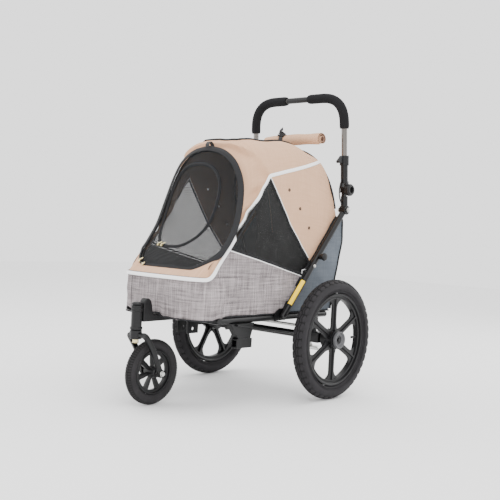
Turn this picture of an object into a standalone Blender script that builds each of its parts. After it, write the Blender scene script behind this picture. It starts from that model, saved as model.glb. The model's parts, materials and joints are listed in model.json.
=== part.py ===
"""Three-wheeled pet stroller.

Metres, +Z up. The front of the stroller faces -Y and its own left is +X. The origin is on the ground,
under the middle of its length. Heights and depths in the code are measured from the rear axle,
and place_in_frame moves the finished stroller to the origin.
"""

import math

import bmesh
import bpy
from mathutils import Matrix, Vector

# Driving dimensions
REAR_R = 0.200  # rear wheel radius over the tread
REAR_TYRE_R = 0.0245  # half width of the rear tyre
TRACK = 0.279  # rear wheel centre plane, from the middle of the stroller
FRONT_R = 0.101
FRONT_TYRE_R = 0.0176
FRONT_Y = -0.549  # front axle, from the rear axle
AXLE_Y = 0.225  # rear axle, behind the middle of the stroller
HEAD_Y = -0.620  # steering axis
RAIL_X = 0.180  # base side rails
RAIL_Z = 0.271
RAIL_R = 0.010
POST_X = 0.204  # uprights and handle posts, outside the cabin
POST_R = 0.0105
FOLD_Y, FOLD_Z = -0.170, 0.283  # base pivot of the uprights
HINGE_Y, HINGE_Z = 0.136, 0.637  # elbow at the top of the uprights
KNOB_Z = 0.707  # height of the handle's fold axis, behind the angle knobs
POST_TOP_Y = 0.120  # handle posts at the top of the sleeves
SLEEVE_TOP_Z = 0.812
BAR_Z = 1.029  # centre line of the top of the handlebar
BAR_FOOT_Z = 0.770  # lower ends of the handlebar, inside the sleeves
GRIP_R = 0.0165
GRIP_BEND = 0.065  # bend of the handlebar corners
TUB_HALF = 0.184  # outside of the lower tub
TUB_FRONT, TUB_REAR = -0.530, 0.100
TUB_BOTTOM, TUB_TOP = 0.284, 0.402
CLOTH = 0.004  # wall thickness of the soft parts
SKIRT_Z = TUB_TOP + 0.003  # lower edge of the cabin, on top of the tub
PLATE = 0.008  # thickness of the axle brackets
GAP = 0.0004  # clearance between pieces that touch
BORE_R = 0.0106  # inside of a sleeve or grip on the handlebar
ROUND = 16  # sides of a round piece
LEFT_RIGHT = (("_left", 1), ("_right", -1))

# Cabin curves: half width and depth against height, read on the door's edge and on the rear edge
DOOR_EDGE = [
    (0.435, 0.158, -0.492), (0.480, 0.176, -0.444), (0.520, 0.178, -0.413), (0.560, 0.176, -0.389),
    (0.620, 0.170, -0.369), (0.680, 0.158, -0.355), (0.720, 0.142, -0.351), (0.760, 0.114, -0.350),
    (0.790, 0.066, -0.350), (0.803, 0.000, -0.350),
]  # fmt: skip
REAR_EDGE = [
    (0.435, 0.186, 0.106), (0.480, 0.187, 0.118), (0.531, 0.188, 0.128), (0.580, 0.187, 0.120),
    (0.640, 0.185, 0.106), (0.700, 0.180, 0.088), (0.752, 0.168, 0.068), (0.800, 0.140, 0.052),
    (0.836, 0.078, 0.046), (0.846, 0.000, 0.046),
]  # fmt: skip
MID_EDGE = [
    (0.435, 0.187), (0.487, 0.190), (0.540, 0.190), (0.600, 0.189), (0.665, 0.187), (0.725, 0.183),
    (0.780, 0.171), (0.825, 0.139), (0.848, 0.076), (0.853, 0.000),
]  # fmt: skip
CABIN_STATIONS = (-0.30, -0.19, -0.08)
DOOR_BULGE = 0.006  # how far the middle of the door stands forward
ROOF_RISE = 0.012  # climb of the roof between two stations

BLACK = ("black_metal", (0.018, 0.018, 0.020), 0.42, 0.4)
PLASTIC = ("black_plastic", (0.022, 0.022, 0.024), 0.5, 0.0)
STEEL = ("steel", (0.62, 0.62, 0.64), 0.28, 1.0)
RUBBER = ("tyre_rubber", (0.03, 0.03, 0.032), 0.8, 0.0)
FOAM = ("grip_foam", (0.035, 0.035, 0.038), 0.9, 0.0)
MELANGE = ("grey_fabric", (0.36, 0.33, 0.32), 0.95, 0.0)
BEIGE = ("beige_fabric", (0.66, 0.50, 0.38), 0.9, 0.0)
MESH = ("black_mesh", (0.02, 0.02, 0.02), 0.9, 0.0)
BOARD = ("floor_board", (0.05, 0.05, 0.05), 0.8, 0.0)


def clear_scene():
    for obj in list(bpy.data.objects):
        bpy.data.objects.remove(obj)


def material(look):
    name, colour, roughness, metallic = look
    found = bpy.data.materials.get(name)
    if found:
        return found
    made = bpy.data.materials.new(name)
    made.use_nodes = True
    shader = made.node_tree.nodes["Principled BSDF"]
    shader.inputs["Base Color"].default_value = (*colour, 1)
    shader.inputs["Roughness"].default_value = roughness
    shader.inputs["Metallic"].default_value = metallic
    return made


def add_object(name, data, look, pivot=None):
    """Links the object and, for a moving piece, puts its origin on the joint's axis."""
    obj = bpy.data.objects.new(name, data)
    bpy.context.scene.collection.objects.link(obj)
    data.materials.append(material(look))
    if pivot is not None:
        data.transform(Matrix.Translation(-Vector(pivot)))
        obj.location = pivot
    return obj


def add_mesh(name, bm, look, pivot=None, smooth=True):
    bmesh.ops.recalc_face_normals(bm, faces=bm.faces)
    mesh = bpy.data.meshes.new(name)
    bm.to_mesh(mesh)
    bm.free()
    if smooth:
        mesh.shade_smooth()
        mesh.set_sharp_from_angle(angle=math.radians(35))
    return add_object(name, mesh, look, pivot)


def box_mesh(low, high, bevel=0.0):
    bm = bmesh.new()
    bmesh.ops.create_cube(bm, size=1)
    low, high = Vector(low), Vector(high)
    bmesh.ops.scale(bm, vec=high - low, verts=bm.verts)
    bmesh.ops.translate(bm, vec=(low + high) / 2, verts=bm.verts)
    if bevel:
        bmesh.ops.bevel(bm, geom=bm.edges, offset=bevel, segments=1, affect="EDGES")
    return bm


def box(name, low, high, look, bevel=0.001, pivot=None):
    return add_mesh(name, box_mesh(low, high, bevel), look, pivot)


def turned_mesh(profile, centre, axis="X", steps=ROUND):
    """A ring spun from (radius, along) points: along runs on the axis. A radius of 0 closes the end."""
    bm = bmesh.new()
    verts = [bm.verts.new((radius, 0, along)) for radius, along in profile]
    if all(radius > 0 for radius, _ in profile):
        bm.edges.new((verts[-1], verts[0]))
    for a, b in zip(verts, verts[1:]):
        bm.edges.new((a, b))
    bmesh.ops.spin(
        bm, geom=bm.verts[:] + bm.edges[:], axis=(0, 0, 1), cent=(0, 0, 0),
        steps=steps, angle=math.tau, use_merge=True,
    )  # fmt: skip
    bmesh.ops.remove_doubles(bm, verts=bm.verts, dist=1e-6)
    turn = {"X": Matrix.Rotation(math.pi / 2, 4, "Y"), "Y": Matrix.Rotation(-math.pi / 2, 4, "X")}
    bmesh.ops.transform(bm, matrix=Matrix.Translation(centre) @ turn.get(axis, Matrix()), verts=bm.verts)
    return bm


def turned(name, profile, centre, look, axis="X", steps=ROUND, pivot=None):
    return add_mesh(name, turned_mesh(profile, centre, axis, steps), look, pivot)


def ring_profile(inner, outer, low, high, bevel=0.001):
    """Cross-section of a tube wall or, with an inner radius of 0, of a plain rod."""
    top = [(outer, low + bevel), (outer, high - bevel), (outer - bevel, high)]
    if inner:
        return [(inner, low), (outer - bevel, low), *top, (inner, high)]
    return [(0, low), (outer - bevel, low), *top, (0, high)]


def rounded_route(corners, bend):
    """The corners of a bent tube, with each inner corner turned into an arc of points."""
    corners = [Vector(c) for c in corners]
    route = [corners[0]]
    for number in range(1, len(corners) - 1):
        before, corner, after = corners[number - 1 : number + 2]
        back, ahead = (before - corner).normalized(), (after - corner).normalized()
        first_share = 0.95 if number == 1 else 0.45
        last_share = 0.95 if number == len(corners) - 2 else 0.45
        reach = min(bend, (before - corner).length * first_share, (after - corner).length * last_share)
        start, end = corner + back * reach, corner + ahead * reach
        for step in range(6):
            t = step / 5
            route.append(start * (1 - t) ** 2 + corner * 2 * t * (1 - t) + end * t**2)
    return route + [corners[-1]]


def tube_mesh(corners, radius, bend=0.03, sides=12, inner=0.0):
    """A bent tube of bridged rings. With an inner radius it is an open sleeve."""
    route = rounded_route(corners, bend)
    bm = bmesh.new()
    side = (route[1] - route[0]).normalized().orthogonal().normalized()
    loops = []
    for index, point in enumerate(route):
        ahead = route[min(index + 1, len(route) - 1)] - route[max(index - 1, 0)]
        ahead.normalize()
        side = (side - ahead * side.dot(ahead)).normalized()
        up = ahead.cross(side)
        for loop_radius in (radius, inner) if inner else (radius,):
            ring = []
            for step in range(sides):
                angle = math.tau * step / sides
                offset = side * math.cos(angle) + up * math.sin(angle)
                ring.append(bm.verts.new(point + offset * loop_radius))
            loops.append(ring)
    walls = 2 if inner else 1
    for first, second in zip(loops, loops[walls:]):
        for step in range(sides):
            after = (step + 1) % sides
            bm.faces.new((first[step], first[after], second[after], second[step]))
    if not inner:
        bm.faces.new(loops[0])
        bm.faces.new(loops[-1])
        return bm
    for outer_loop, inner_loop in ((loops[0], loops[1]), (loops[-2], loops[-1])):
        for step in range(sides):
            after = (step + 1) % sides
            bm.faces.new((outer_loop[step], outer_loop[after], inner_loop[after], inner_loop[step]))
    return bm


def tube(name, corners, radius, look, bend=0.03, sides=12, inner=0.0, pivot=None):
    return add_mesh(name, tube_mesh(corners, radius, bend, sides, inner), look, pivot)


def plate_mesh(outline, low_x, high_x):
    """A plate cut from a (y, z) outline, lying across X."""
    bm = bmesh.new()
    base = bm.faces.new([bm.verts.new((low_x, y, z)) for y, z in outline])
    moved = bmesh.ops.extrude_face_region(bm, geom=[base])["geom"]
    verts = [v for v in moved if isinstance(v, bmesh.types.BMVert)]
    bmesh.ops.translate(bm, vec=(high_x - low_x, 0, 0), verts=verts)
    return bm


def join(target, helpers, operation="UNION"):
    """Adds the helper meshes to the target, or cuts them from it, and keeps them as hidden helpers."""
    for number, bm in enumerate(helpers):
        bmesh.ops.recalc_face_normals(bm, faces=bm.faces)
        mesh = bpy.data.meshes.new(f"{target.name}_{operation.lower()}_{number}")
        bm.to_mesh(mesh)
        bm.free()
        mesh.transform(Matrix.Translation(-target.location))
        helper = bpy.data.objects.new(mesh.name, mesh)
        bpy.context.scene.collection.objects.link(helper)
        helper.location = target.location
        helper.hide_render = True
        helper.display_type = "WIRE"
        modifier = target.modifiers.new(mesh.name, "BOOLEAN")
        modifier.operation = operation
        modifier.object = helper
    return target


def make_wheel(prefix, suffix, centre, radius, tyre_r, spokes, turn, hub):
    """A tyre on a moulded rim. hub holds the bore radius, hub radius, and inner and outer hub ends."""
    bore, hub_r, inner_end, outer_end = hub
    wall = tyre_r * 0.9
    seat = radius - 2 * tyre_r * 0.93
    tyre = []
    for step in range(10):
        angle = math.pi * (step / 9) - math.pi / 2
        depth = radius - tyre_r + tyre_r * math.cos(angle)
        tyre.append((depth, tyre_r * math.sin(angle)))
    tyre += [(seat + 2 * GAP, wall * 0.62), (seat + 2 * GAP, -wall * 0.62)]
    steps = 40 if radius > 0.15 else 28
    turned(f"{prefix}_tyre{suffix}", tyre, centre, RUBBER, steps=steps, pivot=centre)
    lip, half = seat - tyre_r * 0.75, wall * 0.72
    bead = half * 0.8
    rim = [(seat, -bead), (seat, bead), (seat - 0.004, half), (lip, bead), (lip, -bead), (seat - 0.004, -half)]
    name = f"{prefix}_rim{suffix}"
    wheel = turned(name, rim, centre, PLASTIC, steps=steps, pivot=centre)
    arms = []
    for number in range(spokes):
        low = (-half * 0.45, -tyre_r * 0.42, hub_r * 0.8)
        arm = box_mesh(low, (half * 0.5, tyre_r * 0.42, lip + tyre_r * 0.3))
        spin = Matrix.Rotation(turn + math.tau * number / spokes, 4, "X")
        bmesh.ops.transform(arm, matrix=Matrix.Translation(centre) @ spin, verts=arm.verts)
        arms.append(arm)
    arms.append(turned_mesh(ring_profile(bore, hub_r, inner_end, outer_end, 0.002), centre, steps=24))
    return join(wheel, arms)


def make_rear_wheels():
    for suffix, side, turn in (("_left", 1, 0.0), ("_right", -1, math.radians(30))):
        centre = (side * TRACK, 0, REAR_R)
        ends = sorted((side * -0.030, side * 0.034))
        hub = (0.0130, 0.031, *ends)
        make_wheel("rear", suffix, centre, REAR_R, REAR_TYRE_R, 6, turn, hub)
        stub = ring_profile(0.0075, 0.0125, *sorted((side * (0.236 - TRACK), side * 0.026)))
        turned(f"axle_stub{suffix}", stub, centre, STEEL)
        button = ring_profile(0, 0.0068, *sorted((side * 0.004, side * 0.030)))
        turned(f"release_button{suffix}", button, centre, PLASTIC, pivot=centre)


def make_front_caster():
    pivot = (0, HEAD_Y, 0)
    crown = turned("front_fork", ring_profile(0, 0.0165, 0.207, 0.2345), pivot, BLACK, "Z", pivot=pivot)
    parts = [turned_mesh(ring_profile(0, 0.0080, 0.230, 0.300), pivot, "Z", 12)]
    for side in (-1, 1):
        leg_x = side * 0.036
        route = [(0, HEAD_Y, 0.221), (leg_x, HEAD_Y + 0.004, 0.221), (leg_x, FRONT_Y - 0.03, 0.175)]
        parts.append(tube_mesh([*route, (leg_x, FRONT_Y, 0.094)], 0.0088, 0.03, 10))
    join(crown, parts)
    axle = (0, FRONT_Y, FRONT_R)
    eye = turned_mesh(ring_profile(0, 0.0055, -0.06, 0.06), axle, steps=12)
    join(crown, [eye], "DIFFERENCE")
    turned("front_axle_bolt", ring_profile(0, 0.0050, -0.052, 0.052), axle, STEEL, steps=12)
    hub = (0.0056, 0.016, -0.0255, 0.0255)
    make_wheel("front", "", axle, FRONT_R, FRONT_TYRE_R, 7, 0.0, hub)


def make_steering_head():
    centre = (0, HEAD_Y, 0)
    bored = [(0, 0.3015), (0.0085, 0.3015), (0.0085, 0.2352), (0.0165, 0.2352)]
    bored += [(0.0165, 0.308), (0.014, 0.310), (0, 0.310)]
    turned("steering_head", bored, centre, BLACK, "Z")
    beam_low, beam_high = (-0.013, HEAD_Y + 0.0172, 0.250), (0.013, -0.4705, 0.2835)
    beam = box("front_beam", beam_low, beam_high, BLACK, 0.003)
    arch_side = [(-0.602, 0.26), (-0.540, 0.26), (-0.540, 0.300), (-0.585, 0.325), (-0.602, 0.31)]
    arch = plate_mesh(arch_side, -0.011, 0.011)
    join(beam, [arch])
    pivot = (-0.0178, HEAD_Y - 0.004, 0.292)
    lever = [(-0.644, 0.297), (-0.612, 0.284), (-0.612, 0.289), (-0.642, 0.306)]
    swivel = add_mesh("swivel_lock_lever", plate_mesh(lever, -0.0225, -0.0172), PLASTIC, pivot)
    return swivel


def make_base():
    for suffix, side in LEFT_RIGHT:
        x = side * RAIL_X
        tube(f"side_rail{suffix}", [(x, -0.450, RAIL_Z), (x, 0.085, RAIL_Z)], RAIL_R, BLACK)
        outline = [(-0.205, 0.262), (-0.150, 0.262), (-0.150, 0.290)]
        outline += [(-0.160, 0.300), (-0.182, 0.300), (-0.205, 0.285)]
        inner_low, inner_high = sorted((side * (RAIL_X + 0.0105), side * 0.1935))
        base = add_mesh(f"fold_bracket{suffix}", plate_mesh(outline, inner_low, inner_high), BLACK)
        bolt_ends = sorted((side * -0.012, side * 0.0145))
        centre = (side * POST_X, FOLD_Y, FOLD_Z)
        bolt = turned_mesh(ring_profile(0, 0.0045, *bolt_ends), centre, steps=12)
        join(base, [bolt])
        bracket = [(-0.045, 0.2605), (0.045, 0.2605), (0.030, 0.178), (-0.030, 0.178)]
        plate_low, plate_high = sorted((x - side * PLATE / 2, x + side * PLATE / 2))
        plate = add_mesh(f"axle_bracket{suffix}", plate_mesh(bracket, plate_low, plate_high), BLACK)
        flange_low, flange_high = sorted((x - side * PLATE / 2, side * 0.2355))
        flange = box_mesh((flange_low, -0.022, 0.182), (flange_high, 0.022, 0.218), 0.002)
        join(plate, [flange])
        rod = [(side * 0.1945, -0.385, 0.2565), (side * 0.1945, -0.036, 0.206)]
        tube(f"stay_rod{suffix}", rod, 0.0034, BLACK, sides=8)
    span = RAIL_X - RAIL_R - GAP
    front_y = -0.450 - RAIL_R - 0.0007
    tube("front_cross_tube", [(-0.192, front_y, RAIL_Z), (0.192, front_y, RAIL_Z)], 0.0098, BLACK)
    tube("middle_cross_tube", [(-span, FOLD_Y, RAIL_Z), (span, FOLD_Y, RAIL_Z)], 0.0085, BLACK)
    axle_span = RAIL_X - PLATE / 2 - GAP
    tube("rear_axle_beam", [(-axle_span, 0, REAR_R), (axle_span, 0, REAR_R)], 0.0125, BLACK)
    box("floor_board", (-0.168, -0.435, 0.2902), (0.168, 0.085, 0.2962), BOARD)
    bracket = box("under_bracket", (-0.020, -0.435, 0.214), (0.030, -0.385, 0.2605), BLACK, 0.002)
    slot = box_mesh((-0.0155, -0.45, 0.20), (0.0255, -0.37, 0.2555))
    hole = turned_mesh(ring_profile(0, 0.0055, -0.06, 0.06), (0.005, -0.41, 0.229), steps=12)
    join(bracket, [slot, hole], "DIFFERENCE")
    tube("bracket_cross_tube", [(-span, -0.41, RAIL_Z), (span, -0.41, RAIL_Z)], 0.0085, BLACK)


def make_tow_bracket():
    """A triangular plate under the left rail, with a square receiver open at the front."""
    outline = [(-0.405, 0.2605), (-0.300, 0.2605), (-0.315, 0.214), (-0.372, 0.214)]
    add_mesh("tow_bracket", plate_mesh(outline, 0.168, 0.190), BLACK)
    receiver = box("tow_receiver", (0.166, -0.378, 0.184), (0.192, -0.308, 0.2136), BLACK, 0.0015)
    bore = box_mesh((0.1705, -0.40, 0.1885), (0.1875, -0.318, 0.2085))
    join(receiver, [bore], "DIFFERENCE")


def make_tub():
    """The open lower tub: a floor and walls with a narrower, rounded nose."""
    plan = [(TUB_HALF, TUB_REAR), (TUB_HALF, -0.400), (0.182, -0.470)]
    plan += [(0.165, -0.512), (0.110, -0.525), (0, TUB_FRONT)]
    plan += [(-x, y) for x, y in reversed(plan[:-1])]
    inset = 1 - CLOTH / TUB_HALF
    bm = bmesh.new()
    middle_y = (TUB_FRONT + TUB_REAR) / 2
    levels = [(1, TUB_BOTTOM), (1, TUB_TOP), (inset, TUB_TOP), (inset, TUB_BOTTOM + CLOTH)]
    loops = []
    for scale, z in levels:
        loops.append([bm.verts.new((x * scale, middle_y + (y - middle_y) * scale, z)) for x, y in plan])
    for first, second in zip(loops, loops[1:]):
        for step, _ in enumerate(plan):
            after = (step + 1) % len(plan)
            bm.faces.new((first[step], first[after], second[after], second[step]))
    bm.faces.new(loops[0])
    bm.faces.new(loops[-1])
    add_mesh("lower_tub", bm, MELANGE)


def cabin_rows():
    """Left half of the cabin tunnel: one row of points per height, from the door edge to the rear edge."""
    rows = []
    for front, (mid_z, mid_x), rear in zip(DOOR_EDGE, MID_EDGE, REAR_EDGE):
        row = [Vector((front[1], front[2] + CLOTH, front[0]))]
        for number, y in enumerate(CABIN_STATIONS):
            rise = (number - 1) * ROOF_RISE * (mid_z - MID_EDGE[0][0]) / (MID_EDGE[-1][0] - MID_EDGE[0][0])
            row.append(Vector((mid_x, y, mid_z + rise)))
        rows.append(row + [Vector((rear[1], rear[2], rear[0]))])
    return rows


def sheet_mesh(rows):
    """A grid of faces through rows of points on the left half, mirrored to the right."""
    full = rows + [[Vector((-p.x, p.y, p.z)) for p in row] for row in reversed(rows[:-1])]
    bm = bmesh.new()
    grid = [[bm.verts.new(p) for p in row] for row in full]
    for lower, upper in zip(grid, grid[1:]):
        for step in range(len(lower) - 1):
            bm.faces.new((lower[step], lower[step + 1], upper[step + 1], upper[step]))
    return bm


def soft_sheet(name, bm, look, pivot=None):
    obj = add_mesh(name, bm, look, pivot)
    wall = obj.modifiers.new("cloth", "SOLIDIFY")
    wall.thickness = CLOTH
    wall.offset = -1
    wall.use_even_offset = True
    return obj


def make_cabin():
    rows = cabin_rows()
    skirt = [Vector((p.x if p.y > -0.45 else 0.168, p.y, SKIRT_Z)) for p in rows[0]]
    skirt[0] = Vector((0.172, -0.486, SKIRT_Z))
    soft_sheet("canopy", sheet_mesh([skirt] + rows), BEIGE)

    door_rows = []
    for z, x, y in DOOR_EDGE[:-1]:
        half = x - 0.008
        row = [Vector((half * f, y - DOOR_BULGE * (1 - f * f), z)) for f in (1, 0.5, 0, -0.5, -1)]
        door_rows.append(row)
    bm = bmesh.new()
    grid = [[bm.verts.new(p) for p in row] for row in door_rows]
    for lower, upper in zip(grid, grid[1:]):
        for step in range(4):
            bm.faces.new((lower[step], lower[step + 1], upper[step + 1], upper[step]))
    hinge = (0, DOOR_EDGE[0][2], DOOR_EDGE[0][0])
    soft_sheet("front_door", bm, MESH, hinge)

    bm = bmesh.new()
    rear_rows = []
    for z, x, y in REAR_EDGE[:-1]:
        rear_rows.append([Vector((f * (x - 0.010), y - CLOTH, z - 0.009)) for f in (1, 0, -1)])
    rear_rows.insert(0, [Vector((p.x, p.y, SKIRT_Z)) for p in rear_rows[0]])
    grid = [[bm.verts.new(p) for p in row] for row in rear_rows]
    for lower, upper in zip(grid, grid[1:]):
        for step in range(2):
            bm.faces.new((lower[step], lower[step + 1], upper[step + 1], upper[step]))
    soft_sheet("rear_panel", bm, BEIGE)
    roll = ring_profile(0, 0.0225, -0.125, 0.125, 0.004)
    turned("roof_cover_roll", roll, (0, 0.050, 0.877), BEIGE, steps=12)


def make_roof_hoop():
    """The hoop inside the cabin that holds the roof up. It leans forward and folds down on its two feet."""
    foot_y, foot_z, half = 0.070, 0.360, 0.160
    right = [(half + 0.016, foot_y, foot_z), (half, foot_y, foot_z)]
    right += [(half, -0.045, 0.694), (0.112, -0.084, 0.812)]
    left = [(-x, y, z) for x, y, z in reversed(right)]
    tube("roof_hoop", right + left, 0.0045, STEEL, 0.03, 8, pivot=(0, foot_y, foot_z))


def on_post(z, x=POST_X):
    """A point on a handle post's centre line at this height. The posts lean forward a little."""
    lean = (POST_TOP_Y - HINGE_Y) / (SLEEVE_TOP_Z - HINGE_Z)
    return Vector((x, HINGE_Y + (z - HINGE_Z) * lean, z))


def pivot_hole(x, place, radius=0.0056):
    return turned_mesh(ring_profile(0, radius, -0.03, 0.03), (x, place.y, place.z), steps=12)


def make_uprights():
    """Two diagonal tubes on the base pivots, each with an elbow that carries the handle's fold joint."""
    pivot = (0, FOLD_Y, FOLD_Z)
    direction = Vector((0, HINGE_Y - FOLD_Y, HINGE_Z - FOLD_Z)).normalized()
    for suffix, side in LEFT_RIGHT:
        x = side * POST_X
        base, hinge, knob = Vector(pivot), on_post(HINGE_Z, x), on_post(KNOB_Z, x)
        foot = Vector((x, FOLD_Y, FOLD_Z)) - direction * 0.012
        upright = tube(f"upright{suffix}", [foot, hinge - direction * 0.0172], POST_R, BLACK, pivot=pivot)
        join(upright, [pivot_hole(x, base, 0.0050)], "DIFFERENCE")
        knuckle = ring_profile(0.0055, 0.0165, -0.0125, 0.0125)
        elbow = turned(f"upper_hinge{suffix}", knuckle, hinge, BLACK, pivot=pivot)
        neck = tube_mesh([on_post(0.6475, x), on_post(0.685, x)], 0.0125, sides=ROUND)
        tongue = box_mesh((x - 0.0050, knob.y - 0.0085, 0.675), (x + 0.0050, knob.y + 0.0095, 0.7165))
        join(elbow, [neck, tongue])
        join(elbow, [pivot_hole(x, knob), pivot_hole(x, hinge, 0.0055)], "DIFFERENCE")
        bolt = ring_profile(0, 0.0050, -0.0165, 0.0165)
        turned(f"hinge_bolt{suffix}", bolt, hinge, STEEL, steps=12, pivot=pivot)
        spot = Vector((x, FOLD_Y, FOLD_Z)) + direction * 0.250
        plunger = (x + side * (POST_R + 0.0006), spot.y, spot.z)
        button = ring_profile(0, 0.0095, *sorted((0, side * 0.013)))
        turned(f"lock_plunger{suffix}", button, plunger, PLASTIC, steps=12, pivot=plunger)
        strap = [on_post(0.6560, x) + Vector((0, -0.0155, 0)), on_post(0.678, x) + Vector((0, -0.030, 0))]
        strap += [on_post(0.712, x) + Vector((0, -0.030, 0)), on_post(0.742, x) + Vector((0, -0.0160, 0))]
        tube(f"fold_pull{suffix}", strap, 0.0022, PLASTIC, 0.02, 8, pivot=pivot)


def make_handle():
    """The folding upper half: sleeves with cheeks round the elbows, knobs, clamps and the telescopic bar."""
    pivot = tuple(on_post(KNOB_Z, 0))
    for suffix, side in LEFT_RIGHT:
        x = side * POST_X
        knob = on_post(KNOB_Z, x)
        sleeve_line = [on_post(0.7305, x), on_post(SLEEVE_TOP_Z, x)]
        sleeve = tube(
            f"handle_sleeve{suffix}", sleeve_line, 0.0130, BLACK, sides=ROUND, inner=BORE_R, pivot=pivot
        )  # fmt: skip
        cheeks = []
        for cheek in (-1, 1):
            low, high = sorted((x + cheek * 0.0056, x + cheek * 0.0112))
            cheeks.append(box_mesh((low, knob.y - 0.009, 0.6965), (high, knob.y + 0.0085, 0.7375)))
        join(sleeve, cheeks)
        join(sleeve, [pivot_hole(x, knob)], "DIFFERENCE")
        face = Vector((x + side * 0.0138, knob.y, knob.z))
        profile = [(0, -0.026), (0.0050, -0.026), (0.0050, 0.0), (0.0195, 0.0), (0.021, 0.004), (0.021, 0.013)]
        profile += [(0.018, 0.016), (0.010, 0.016), (0.009, 0.010), (0, 0.010)]
        profile = [(radius, side * along) for radius, along in profile]
        turned(f"angle_knob{suffix}", profile, face, PLASTIC, steps=20, pivot=face)
        collar = [on_post(0.792, x), on_post(0.826, x)]
        tube(f"clamp_collar{suffix}", collar, 0.0165, PLASTIC, sides=ROUND, inner=0.0134, pivot=pivot)
        lever_at = (x, 0.0965, 0.820)
        wedge = [(0.1005, 0.800), (0.1005, 0.824), (0.079, 0.803), (0.083, 0.797)]
        add_mesh(f"clamp_lever{suffix}", plate_mesh(wedge, x - 0.006, x + 0.006), PLASTIC, lever_at)
    corner, far_corner = on_post(BAR_Z), on_post(BAR_Z, -POST_X)
    bar = [on_post(BAR_FOOT_Z), corner, far_corner, on_post(BAR_FOOT_Z, -POST_X)]
    tube("handlebar", bar, 0.0100, STEEL, GRIP_BEND, ROUND)
    for suffix, side in LEFT_RIGHT:
        inner_end = Vector((side * 0.046, corner.y, BAR_Z))
        grip = [on_post(0.9165, side * POST_X), on_post(BAR_Z, side * POST_X), inner_end]
        tube(f"grip{suffix}", grip, GRIP_R, FOAM, GRIP_BEND, ROUND, inner=BORE_R)


def make_brake():
    pivot = (0, 0.048, 0.222)
    bar = tube("brake_bar", [(-0.150, *pivot[1:]), (0.150, *pivot[1:])], 0.0055, STEEL, pivot=pivot)
    arm = tube_mesh([(0.120, 0.048, 0.222), (0.120, 0.075, 0.180), (0.120, 0.100, 0.150)], 0.0048, 0.01, 8)
    pad = box_mesh((0.085, 0.088, 0.138), (0.155, 0.122, 0.150), 0.003)
    join(bar, [arm, pad])


def place_in_frame():
    """Moves the stroller from the rear axle's frame to its own origin."""
    for obj in bpy.context.scene.objects:
        obj.location.y += AXLE_Y


clear_scene()
make_rear_wheels()
make_front_caster()
make_steering_head()
make_base()
make_tow_bracket()
make_tub()
make_cabin()
make_roof_hoop()
make_uprights()
make_handle()
make_brake()
place_in_frame()
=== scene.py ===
# Everything here is measured from it. This lesson adds what that frame can't hold: tread, foam, woven
# cloth, mesh, piping and zips.

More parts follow.
